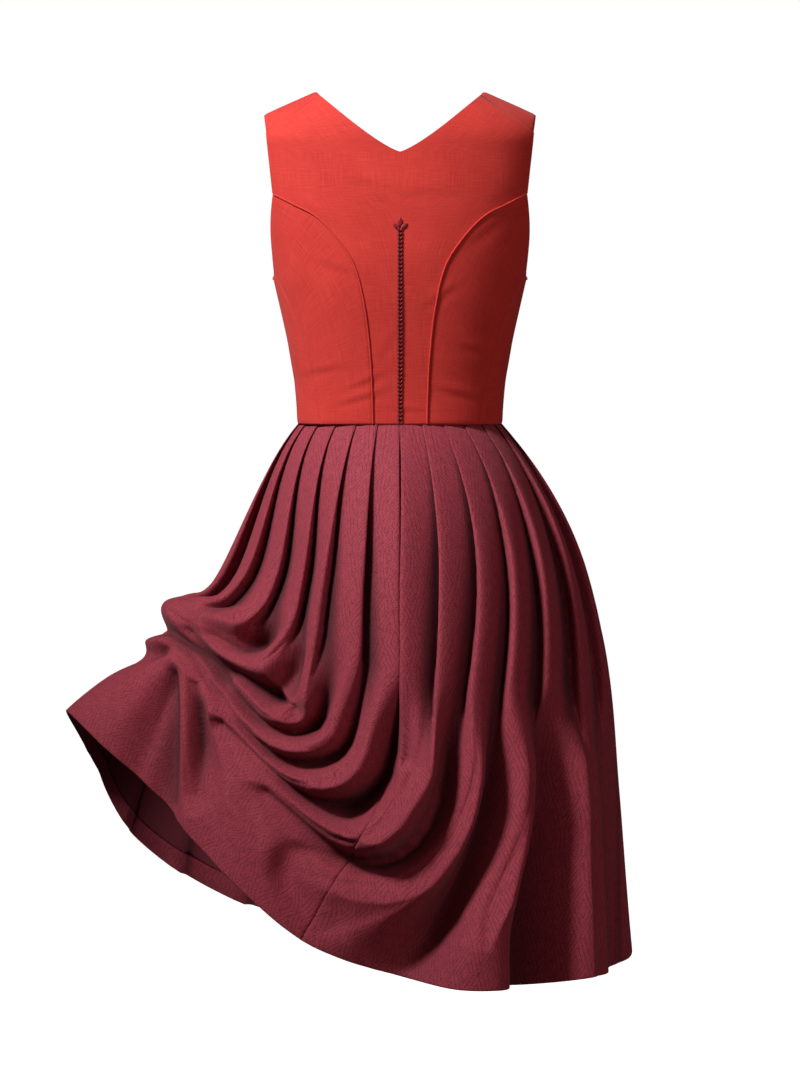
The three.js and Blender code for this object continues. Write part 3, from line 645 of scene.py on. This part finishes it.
t = np.linspace(0, 1, SEAM_ROWS)
side_line = seam_line(SIDE_SEAM, t)
side_line = (np.radians(side_line[0]), side_line[1])
back_x, back_z = seam_line(BACK_PRINCESS, t)
back_line = (angle_of(back_x, back_z, -1), back_z)
front_x, front_z = seam_line(FRONT_PRINCESS, t)
front_line = (angle_of(front_x, front_z, 1), front_z)
add_linen_panel("bodice_back_centre", [half_back(-1), half_back(1)])
for label, side in (("left", -1), ("right", 1)):
    add_linen_panel(f"bodice_back_side_{label}", [side_panel(side, side_line, back_line, 0)])
    add_linen_panel(f"bodice_front_side_{label}", [side_panel(side, side_line, front_line, 44)])
    add_linen_panel(f"bodice_front_{label}", [front_panel(side)])

# %% [markdown]
# ## Piping in the princess seams
#
# A bias strip of the same linen over a thin cord stands in each back princess seam. It is a
# round profile carried along the seam on the form.

# %% Piping in the princess seams
PIPING_RADIUS = 1.15


def carried(line, profile_across, profile_up):
    """A closed profile carried along a line (x, z) on the form's back. The first and last ring
    shrink to a point, which closes the ends."""
    x, z = line
    here = body_at(x, z, -1)
    along = np.gradient(here, axis=0)
    along /= np.linalg.norm(along, axis=-1, keepdims=True)
    span_x = body_at(x + 1, z, -1) - body_at(x - 1, z, -1)
    span_z = body_at(x, z + 1, -1) - body_at(x, z - 1, -1)
    normal = np.cross(span_x, span_z)
    normal /= np.linalg.norm(normal, axis=-1, keepdims=True)
    across = np.cross(along, normal)
    rings = (here[:, None] + across[:, None] * profile_across[None, :, None]
             + normal[:, None] * profile_up[None, :, None])
    middle = rings.mean(axis=1, keepdims=True)
    return np.concatenate([0 * rings[:1] + middle[:1], rings, 0 * rings[-1:] + middle[-1:]])


def add_rings(name, rings, material, nodes):
    """One or many closed tubes from rings: (tubes, rings, points round, 3)."""
    tubes, length, around = rings.shape[:3]
    closed = np.concatenate([rings, rings[:, :, :1]], axis=2)
    faces = grid_faces(length, around + 1)
    faces = (faces[None] + np.arange(tubes)[:, None, None] * length * (around + 1)).reshape(-1, 4)
    walked = np.cumsum(np.linalg.norm(np.diff(closed, axis=1), axis=-1), axis=1)
    walked = np.pad(walked, [(0, 0), (1, 0), (0, 0)])
    turned = np.cumsum(np.linalg.norm(np.diff(closed, axis=2), axis=-1), axis=2)
    turned = np.pad(turned, [(0, 0), (0, 0), (1, 0)])
    uv = np.stack([turned, walked], axis=-1) * MM
    piece = add_mesh(name, closed, faces, uv, [material])
    weld(piece)
    shape = bmesh.new()
    shape.from_mesh(piece.data)
    bmesh.ops.recalc_face_normals(shape, faces=shape.faces)
    shape.to_mesh(piece.data)
    shape.free()
    return wear(piece, nodes)


turn = np.linspace(0, 2 * np.pi, 14, endpoint=False)
for label, side in (("left", -1), ("right", 1)):
    line = seam_line(BACK_PRINCESS, np.linspace(0.003, 0.988, 180))
    rings = carried((side * line[0], line[1]), PIPING_RADIUS * np.cos(turn),
                    0.7 + PIPING_RADIUS * np.sin(turn))
    name = f"piping_back_{label}"
    add_rings(name, rings[None], linen, [name])
    print(name, "length, mm", round(arc(rings[1:-1], 0)[-1].mean()))

# %% [markdown]
# ## Embroidered line down the back
#
# Two columns of slanting stitches in burgundy silk meet in a row of small Vs. Each stitch is a
# rounded bar with only a few faces, because there are about a hundred. They lie on a narrow
# padded band.

# %% Embroidered line down the back
BRAID_TOP = -166
BRAID_BOTTOM = -404.5
STITCH_PITCH = 5.0


def stitch_bars(start, end, radius, around=6, rings=5):
    """Rounded bars between pairs of places: the radius grows from each end as a half circle,
    sqrt(1 - t^2)."""
    t = np.linspace(-1, 1, rings)
    swell = np.sqrt(np.clip(1 - t**2, 0, None)) ** 0.6
    axis = end - start
    axis_unit = axis / np.linalg.norm(axis, axis=-1, keepdims=True)
    across = np.cross(axis_unit, np.array([0, 1.0, 0]))
    across /= np.linalg.norm(across, axis=-1, keepdims=True)
    up = np.cross(across, axis_unit)
    angle = np.linspace(0, 2 * np.pi, around, endpoint=False)
    middle = start[:, None] + axis[:, None] * ((t + 1) / 2)[None, :, None]
    circle = (across[:, None, None] * np.cos(angle)[None, None, :, None]
              + up[:, None, None] * np.sin(angle)[None, None, :, None])
    return middle[:, :, None] + circle * (radius * swell)[None, :, None, None]


band_z = np.linspace(BRAID_BOTTOM, BRAID_TOP, 90)
band = carried((0 * band_z, band_z), 2.8 * np.cos(turn), 0.2 + 0.35 * np.sin(turn))
braid = add_rings("back_braid", band[None], silk_ground, ["back_braid"])
rows = np.arange(BRAID_BOTTOM + 1.5, BRAID_TOP, STITCH_PITCH)
bars = []
for side in (-1, 1):
    top = body_at(side * (2.9 + 0 * rows), rows + 2.6, -1) + (0, -1.1, 0)
    low = body_at(side * (0.3 + 0 * rows), rows - 1.6, -1) + (0, -1.5, 0)
    bars.append(stitch_bars(top, low, 1.05))
stitches = add_rings("braid_stitches", np.concatenate(bars), silk, [])
print("stitches:", 2 * len(rows))

# %% [markdown]
# ## Sprig at its top
#
# The line ends in three small satin-stitch leaves. A leaf is a cushion whose half width is the
# sine of the way along it.

# %% Sprig at its top
def leaf_rings(root, tilt, length, half_width, height):
    """Rings of a leaf that starts at root and leans by tilt degrees from upright."""
    t = np.linspace(0, 1, 22)
    wide = half_width * np.sin(np.pi * t) ** 0.75
    tall = height * np.sin(np.pi * t) ** 0.6
    c, s = np.cos(np.radians(tilt)), np.sin(np.radians(tilt))
    around = np.linspace(0, 2 * np.pi, 12, endpoint=False)
    a = t[:, None] * length
    b = wide[:, None] * np.cos(around)
    x = root[0] + a * s + b * c
    z = root[1] + a * c - b * s
    return body_at(x, z, -1) - np.stack([0 * a + 0 * b, tall[:, None] * np.sin(around) + 0.6,
                                         0 * a + 0 * b], axis=-1)


leaves = [leaf_rings((0, -165), 0, 13, 3.0, 1.3), leaf_rings((-0.6, -167), -50, 11, 2.7, 1.2),
          leaf_rings((0.6, -167), 50, 11, 2.7, 1.2)]
sprig = add_rings("back_sprig", np.stack(leaves), silk, ["back_sprig"])

# %% [markdown]
# ## The skirt before its folds
#
# One surface gives the whole skirt. u counts pleats round the waist, 0 at the centre back, and
# v runs from the waist (0) to the hem (1). Hanging freely the skirt is a stack of half ovals
# that spring out over the hips. A short table then says where the hitched cloth really lies, and
# a bell-shaped puff stands over the hitch.

# %% The skirt before its folds
PLEATS = 26
HALF = PLEATS / 2
WAIST_Z = -405
SEAM_GAP = 0.3
SKIRT_LENGTH = 700
WARPS = np.array([   # u, then x, y, z at the hip, at the height of the hand and at the hem
    [-13, 0, 167, -588, 0, 204, -790, 0, 235, -1066],
    [-11.5, -70, 163, -588, -80, 198, -785, -80, 228, -1062],
    [-10.25, -125, 148, -590, -150, 180, -768, -169, 215, -1048],
    [-9, -165, 120, -590, -218, 145, -745, -272, 175, -998],
    [-8, -200, 72, -592, -272, 98, -720, -343, 135, -938],
    [-6.5, -222, 0, -595, -306, 5, -668, -384, 50, -830],
    [-5, -184, -80, -590, -280, -72, -664, -400, -60, -768],
    [-4, -146, -115, -590, -212, -128, -690, -348, -110, -806],
    [-3, -113, -143, -590, -152, -165, -722, -284, -150, -864],
    [-2, -86, -165, -590, -118, -195, -762, -240, -185, -907],
    [-1, -42, -180, -588, -60, -215, -778, -182, -215, -960],
    [0, 0, -186, -588, -8, -228, -790, -114, -238, -1014],
    [2, 92, -168, -588, 74, -218, -794, 45, -252, -1066],
    [4, 168, -118, -588, 168, -165, -794, 136, -228, -1072],
    [6.5, 226, 0, -588, 264, -30, -794, 268, -112, -1066],
    [8, 208, 66, -588, 254, 50, -794, 290, 10, -1060],
    [10, 139, 132, -588, 180, 150, -794, 215, 165, -1066],
    [13, 0, 167, -588, 0, 204, -790, 0, 235, -1066]], float)
WARP_V = np.array([0, 0.3, 0.6, 1])
PUFF = {"u": -6.2, "v": 0.49, "spread_u": 1.3, "spread_v": 0.08, "out": -2, "up": 10}


def hanging(u, v):
    """The free skirt: level half ovals, wider by 1 - e^(-t/150) and a slow flare with the drop t."""
    u, v = np.broadcast_arrays(u, v)
    t = v * SKIRT_LENGTH - 42 * (1 - np.exp(-v * SKIRT_LENGTH / 120))
    sprung = 1 - np.exp(-t / 150)
    turn = u * 180 / HALF
    angle = np.radians(turn - 3.75 * np.sin(np.radians(2 * turn)))
    back = 92 + 105 * sprung + 0.095 * t
    front = 92 + 80 * sprung + 0.09 * t
    deep = np.where(np.cos(angle) > 0, back, front)
    wide = 126.5 + 123 * sprung + 0.0645 * t
    return np.stack([wide * np.sin(angle), -deep * np.cos(angle), WAIST_Z - SEAM_GAP - t], axis=-1)


def smooth_skirt(u, v):
    """The free skirt, shifted so that its warp lines lie where the table says."""
    stations = WARPS[:, 1:].reshape(-1, 3, 3)
    free = hanging(WARPS[:, :1], WARP_V[None, 1:])
    shifts = through(WARPS[:, 0], (stations - free).reshape(-1, 9), u).reshape(*u.shape, 3, 3)
    share = through(WARP_V, np.eye(4), v, 0.0)[..., 1:]
    moved = np.einsum("...k,...kc->...c", share, shifts)
    puff = np.exp(-(((u - PUFF["u"]) / PUFF["spread_u"]) ** 2)
                  - ((v - PUFF["v"]) / PUFF["spread_v"]) ** 2)
    lift = np.array([-PUFF["out"], 0, PUFF["up"]])
    return hanging(u, v) + moved + puff[..., None] * lift


# %% [markdown]
# ## Swags
#
# From the hitch the cloth hangs in round swags with sharp creases between them. Both are short
# lines, given as they are sighted from behind the dress. A point's height is a cosine of its
# share of the way from the nearest ridge to the nearest crease, so a fold is round on top
# and tight below. A ridge also droops over the crease below it, as heavy cloth does, and the
# places near a crease get painted shade.

# %% Swags
EYE_DISTANCE = 4500       # the camera's place, in millimetres
EYE_Z = -350
RIDGES = {   # four places each: x, z, strength
    "puff": [(-173, -585, 0.6), (-183, -625, 1), (-218, -640, 0.9), (-276, -628, 0.45)],
    "upper swag": [(-131, -600, 0.8), (-143, -681, 1), (-191, -702, 1), (-276, -645, 1)],
    "pocket swag": [(-102, -612, 0.8), (-118, -728, 1), (-159, -768, 1), (-203, -730, 0.6)],
    "hip swag": [(-61, -688, 0.8), (-94, -802, 1), (-197, -778, 1), (-293, -676, 0.8)],
    "third swag": [(-31, -725, 0.8), (-61, -831, 1), (-148, -844, 1), (-228, -758, 0.6)],
    "fourth swag": [(49, -675, 0.8), (14, -840, 1), (-73, -922, 1), (-208, -810, 0.4)],
    "fifth swag": [(104, -750, 0.8), (68, -900, 1), (-13, -978, 0.8), (-138, -965, 0)],
    "great pleat": [(153, -750, 0.8), (146, -885, 1), (99, -1021, 1), (99, -1125, 1)],
    "right edge": [(221, -738, 0.5), (229, -862, 0.7), (232, -975, 0.7), (234, -1100, 0.7)],
    "small roll": [(-296, -710, 0.5), (-278, -694, 0.7), (-261, -705, 0.8), (-247, -740, 0.5)],
    "flare ridge": [(-268, -720, 0.8), (-267, -762, 1), (-266, -812, 1), (-263, -875, 0.5)],
    "flare corner": [(-301, -702, 0.3), (-326, -738, 0.4), (-351, -778, 0.4), (-394, -831, 0.35)],
    "flare middle": [(-219, -800, 0), (-201, -862, 0.3), (-173, -925, 0.4), (-173, -1025, 0.4)],
}
CREASES = {
    "above puff": [(-233, -590, 1), (-206, -625, 1), (-188, -610, 0.9), (-178, -569, 0.5)],
    "under puff": [(-149, -594, 0.9), (-162, -655, 1), (-197, -686, 1), (-233, -670, 0.2)],
    "hand crease": [(-133, -758, 1), (-171, -738, 1), (-223, -705, 1), (-296, -662, 1)],
    "pocket end": [(-117, -588, 0.9), (-121, -650, 1), (-127, -706, 1), (-133, -758, 1)],
    "beside centre": [(34, -594, 0.3), (26, -675, 0.4), (17, -750, 0.3), (9, -825, 0.1)],
    "pocket": [(-86, -675, 0.8), (-102, -775, 1), (-168, -782, 1), (-261, -662, 0.8)],
    "under hip swag": [(-46, -700, 0.8), (-69, -808, 0.9), (-157, -821, 0.9), (-247, -722, 0.9)],
    "centre crease": [(-2, -700, 0.8), (-21, -848, 1), (-107, -878, 1), (-223, -780, 0.15)],
    "under fourth swag": [(78, -675, 0.8), (52, -894, 1), (-38, -962, 1), (-166, -868, 0)],
    "beside great pleat": [(123, -750, 0.8), (112, -894, 1), (58, -1015, 0.7), (-13, -1106, 0.2)],
    "right crease": [(181, -750, 0.8), (176, -888, 1), (166, -988, 1), (159, -1125, 1)],
    "right panel": [(244, -738, 0.2), (257, -862, 0.25), (264, -975, 0.3), (272, -1100, 0.3)],
    "between rolls": [(-307, -695, 1), (-288, -685, 1), (-266, -690, 1), (-248, -718, 0.8)],
    "flare crease": [(-254, -730, 0.9), (-253, -762, 1), (-252, -806, 1), (-253, -869, 0.2)],
    "shadow crease": [(-283, -718, 1), (-281, -762, 1), (-282, -812, 1), (-286, -875, 0.6)],
}
FOLD_STEEPNESS = 0.85     # height for the distance from ridge to crease
FOLD_SPAN = 60            # a wider fold gets no higher
FOLD_DROOP = 0.28
FOLD_POWER = 1.35         # over 1, the ridge is broader than the crease
PAINTED_SHADE_SPAN = 14          # a narrower fold gets less painted shade
RIDGE_EASE = 3
CREASE_EASE = 1.5
STRENGTH_EASE = 8


def traced(folds):
    """Each fold's line as 14 places with their strength."""
    return [through([0, 1 / 3, 2 / 3, 1], rows, np.linspace(0, 1, 14)) for rows in folds.values()]


def distance_to(line, x, z):
    """The distance from each place to a line, and the line's strength at its nearest point."""
    best = np.full(x.shape, np.inf)
    strong = np.zeros(x.shape)
    for start, end in zip(line[:-1], line[1:]):
        bx, bz, gain = end - start
        t = np.clip(((x - start[0]) * bx + (z - start[1]) * bz) / (bx * bx + bz * bz), 0, 1)
        distance = np.hypot(x - start[0] - t * bx, z - start[1] - t * bz)
        closer = distance < best
        best = np.where(closer, distance, best)
        strong = np.where(closer, start[2] + t * gain, strong)
    return best, strong


def nearest(lines, x, z, ease):
    """The nearest of several lines, eased where two are equally near: -ease * log of the sum
    of e^(-distance / ease)."""
    found = [distance_to(line, x, z) for line in lines]
    distance = np.stack([one[0] for one in found])
    strong = np.stack([one[1] for one in found])
    least = distance.min(axis=0)
    total = np.exp((least - distance) / ease).sum(axis=0)
    weight = np.exp((least - distance) / STRENGTH_EASE)
    return (np.maximum(0, least - ease * np.log(total)),
            (strong * weight).sum(axis=0) / weight.sum(axis=0))


def swag_height(places):
    """Height of the swags over the smooth skirt, how far their ridges droop, and how much shade
    is painted in the creases, 0 to 1."""
    near = EYE_DISTANCE / (EYE_DISTANCE + places[..., 1])
    x = places[..., 0] * near
    z = EYE_Z + (places[..., 2] - EYE_Z) * near
    to_ridge, ridge = nearest(ridge_lines, x, z, RIDGE_EASE)
    to_crease, crease = nearest(crease_lines, x, z, CREASE_EASE)
    span = to_ridge + to_crease
    wave = np.cos(np.pi * (to_ridge / (span + 1e-6)) ** FOLD_POWER)
    span = np.minimum(span, FOLD_SPAN)
    high = ridge * (1 + wave) / 2 * span
    low = crease * (1 - wave) / 2 * span
    # Painted shade: darkest deep in a crease, lighter in narrow folds.
    painted_shade = crease * ((1 - wave) / 2) ** 3 * np.minimum(1, span / PAINTED_SHADE_SPAN)
    return (high - low) * FOLD_STEEPNESS, high * FOLD_DROOP, painted_shade


ridge_lines = traced(RIDGES)
crease_lines = traced(CREASES)
print("folds:", len(ridge_lines), "ridges and", len(crease_lines), "creases")

# %% [markdown]
# ## Pleats
#
# A knife pleat is a fold pressed to one side. Its height rises steeply from the crease to the
# folded edge and falls slowly to the next crease, and the folded edge also leans over the
# crease, towards the centre back. What runs under the folded edge gets painted shade. Where
# the swags begin, the pleats give way to them.

# %% Pleats
PLEAT_DEPTH = {"waist": 2.6, "hip": 20}
PLEAT_MEAN = 0.58         # of the wave
FLATTENED = 0.85          # how much of their height the pleats lose at the lower right
EDGE_SHORT = 0.07         # of a pleat, that the edge stops short of its full lean
DARKEST = 0.8             # share of the painted shade colour in the deepest place


def pleat_lean(v):
    """How far the folded edge leans over the crease, as a share of the pleat."""
    return 0.34 - 0.2 * ramp(0.35, 1, v)


def pleat_power(v):
    """The exponent of the pleats' wave: small at the waist, where the edges are sharp."""
    return 0.32 + 0.26 * ramp(0, 0.55, v)


def pleat_share(u, v):
    """The share of the way through the pleat, from its crease to the next. The crest, at
    0.5^(1/e), leans back to the pleat's own number. At the centre front the last pleat's
    crease goes on, with share 1, up to its mirror image."""
    place = np.abs(u) - pleat_lean(v) + 0.5 ** (1 / pleat_power(v))
    return np.minimum(place - np.minimum(np.floor(place), HALF - 1), 1)


def pleat_wave(u, v):
    """sin(pi p^e) of the share p of the way through the pleat."""
    return np.sin(np.pi * pleat_share(u, v) ** pleat_power(v))


def pleat_painted_shade(u, v):
    """Painted shade, 1 where the pleat runs under the next folded edge. Lower down more of it
    is painted dark.
    """
    start = 0.74 - 0.22 * ramp(0, 0.4, v)
    return ramp(start, start + 0.3, pleat_share(u, v)) * ramp(0, 0.1, v)


def pleat_height(u, v):
    """The wave less its mean, times a depth that grows from the waist to the hip. On the right
    the pleats open towards the hem into a flat stretch."""
    right = ramp(5.2, 6.2, u) * (1 - ramp(7.8, 9.4, u)) * ramp(0.42, 0.7, v)
    depth = PLEAT_DEPTH["waist"] + (PLEAT_DEPTH["hip"] - PLEAT_DEPTH["waist"]) * ramp(0, 0.3, v)
    return (pleat_wave(u, v) - PLEAT_MEAN) * depth * (1 - FLATTENED * right)


def swag_share(u, v):
    """0 where the pleats hang, 1 where the swags have taken over."""
    back = ramp(-7.6, -6.4, u) * (1 - ramp(6.3, 7.3, u))
    start = 0.36 + 0.12 * ramp(-4, 2, u)
    return ramp(start, start + 0.16, v) * back


def skirt_at(u, v):
    """The skirt's outer surface, and the shade painted on it: the smooth skirt, raised by the
    pleats or swags along its outward directions, with the pleats' edges moved towards the centre."""
    smooth = smooth_skirt(u, v)
    step = np.gradient(smooth, axis=1) / np.gradient(u, axis=1)[..., None]
    out = np.cross(step, -np.gradient(smooth, axis=0))
    out[..., 2] *= ramp(0, 0.08, v)
    out /= np.linalg.norm(out, axis=-1, keepdims=True) + 1e-12
    swag = swag_share(u, v)
    swelling, droop, painted_shade = swag_height(smooth)
    height = pleat_height(u, v) * (1 - swag) + swelling * swag
    lean = (pleat_lean(v) - EDGE_SHORT) * pleat_wave(u, v) ** 1.5 * (1 - swag)
    shape = smooth + out * height[..., None] - step * (np.sign(u) * lean)[..., None]
    shape[..., 2] -= droop * swag * (1 - ramp(0.7, 1, v))
    # Painted shade from the swags' creases and from under the pleats' folded edges.
    painted_shade = painted_shade * swag + pleat_painted_shade(u, v) * (1 - swag)
    return shape, painted_shade * DARKEST


# %% [markdown]
# ## Hem
#
# The hem is turned up 28 mm inside. The same cloth runs down the outside, round a small half
# circle and up again, so the right side of the cloth shows inside along the hem.

# %% Hem and skirt panels
JACQUARD_WALL = 1.2
HEM_DEPTH = 28
FOLD_RADIUS = 1.5
SKIRT_ROWS = 280
SEAM_DEPTH = 1.3
SEAM_OVERLAP = 0.008      # of a pleat
SEAM_WIDTH = 2.2


def add_skirt_panel(name, u_values):
    """A skirt panel: rows down the outside, round the fold and up to the hem stitches."""
    v_out = np.linspace(0, 1, SKIRT_ROWS)
    u, v = np.meshgrid(u_values, v_out)
    folded = np.where(u > HALF, u - PLEATS, u)
    outside, painted_shade = skirt_at_any(folded, v)
    out = -normals(outside)
    across = arc(outside, 1)
    edge = np.minimum(across, across[:, -1:] - across)
    outside = outside - out * (SEAM_DEPTH * np.exp(-((edge / SEAM_WIDTH) ** 2)))[..., None]
    down = outside[-1] - outside[-4]
    down /= np.linalg.norm(down, axis=-1, keepdims=True)
    turn = np.linspace(0, np.pi, 8)[1:, None, None]
    centre = outside[-1] - out[-1] * FOLD_RADIUS
    fold = centre + FOLD_RADIUS * (out[-1] * np.cos(turn) + down * np.sin(turn))
    up = int(round(SKIRT_ROWS * HEM_DEPTH / SKIRT_LENGTH))
    inside = outside[-2:-2 - up:-1] - out[-2:-2 - up:-1] * 2 * FOLD_RADIUS
    grid = np.concatenate([outside, fold, inside])[::-1]
    across = arc(grid, 1)
    middle = across[:, [int(np.argmin(np.abs(u_values - u_values.mean())))]]
    walked = arc(grid[::-1], 0)[::-1]
    walked = walked * (SKIRT_LENGTH + HEM_DEPTH) / walked.max(axis=0, keepdims=True)
    uv = np.stack([across - middle, -walked], axis=-1) * MM
    panel = add_mesh(name, grid, grid_faces(*grid.shape[:2]), uv, [jacquard, jacquard_wrong])
    added = grid.shape[0] - SKIRT_ROWS
    # The painted shade of each point; the fold and the turn-up get none.
    shade = np.concatenate([np.zeros((added, grid.shape[1])), painted_shade[::-1]]).astype(np.float32)
    panel.data.attributes.new("painted_shade", "FLOAT", "POINT").data.foreach_set("value", shade.ravel())
    thicken(panel, JACQUARD_WALL, 1)
    wear(panel, [name])
    waist, hem = arc(outside, 1)[[0, -1], -1]
    print(name, "triangles", 4 * (grid.shape[0] - 1) * (grid.shape[1] - 1), "area",
          round(panel_area(grid), 3), "waist, mm", round(waist), "hem, mm", round(hem))
    return panel


def skirt_at_any(u, v):
    """skirt_at for columns that cross the centre front, where u jumps by a whole round."""
    jump = np.nonzero(np.abs(np.diff(u[0])) > 1)[0]
    if len(jump) == 0:
        return skirt_at(u, v)
    cut = jump[0] + 1
    parts = zip(skirt_at(u[:, :cut], v[:, :cut]), skirt_at(u[:, cut:], v[:, cut:]))
    return [np.concatenate(pair, axis=1) for pair in parts]


SKIRT_CUTS = {   # u from, u to, columns to a pleat, width at the hem, width at the waist
    "skirt_back_left": (-6.5, 0, 24, 0.60, 0.28),
    "skirt_back_right": (0, 6.5, 24, 0.60, 0.28),
    "skirt_front": (6.5, 19.5, 12, 1.20, 0.56),
}


def column_places(start, end, per_pleat):
    """Columns between two pleat numbers, closer together where the pleats fold:
    p = t - 0.6 (sin 2 pi (t - 1/4) + 1) / 2 pi in each pleat."""
    t = np.arange(per_pleat) / per_pleat
    p = t - 0.6 * (np.sin(2 * np.pi * (t - 0.25)) + 1) / (2 * np.pi)
    right = (np.arange(HALF)[:, None] + p).ravel()
    every = np.concatenate([-right, right, PLEATS - right])
    inside = every[(every > start + 0.02) & (every < end - 0.02)]
    return np.unique(np.concatenate([[start - SEAM_OVERLAP, end + SEAM_OVERLAP], inside]).round(5))


for name, (start, end, columns, hem, waist) in SKIRT_CUTS.items():
    u_values = column_places(start, end, columns)
    panel = add_skirt_panel(name, u_values)

# %% [markdown]

# %% [markdown]
# ## Floor
#
# The dress floats over a plain pale floor that is bright enough to run into the white behind it.

# %% Floor
FLOOR_Z = -1.4
floor_finish = bpy.data.materials.new("pale_floor")
floor_finish.use_nodes = True
floor_shader = floor_finish.node_tree.nodes["Principled BSDF"]
floor_shader.inputs["Base Color"].default_value = (0.9, 0.9, 0.9, 1)
floor_shader.inputs["Roughness"].default_value = 0.9
floor_shader.inputs["Emission Color"].default_value = (1, 1, 1, 1)
floor_shader.inputs["Emission Strength"].default_value = 1.0
FLOOR_HALF = 30
floor_mesh = bpy.data.meshes.new("floor")
floor_corners = [(x * FLOOR_HALF, y * FLOOR_HALF, FLOOR_Z)
                 for x, y in ((-1, -1), (1, -1), (1, 1), (-1, 1))]
floor_mesh.from_pydata(floor_corners, [], [(0, 1, 2, 3)])
floor_mesh.materials.append(floor_finish)
floor = bpy.data.objects.new("floor", floor_mesh)
floor.visible_diffuse = False     # it shows white, but lights nothing
floor.visible_glossy = False
scene.collection.objects.link(floor)
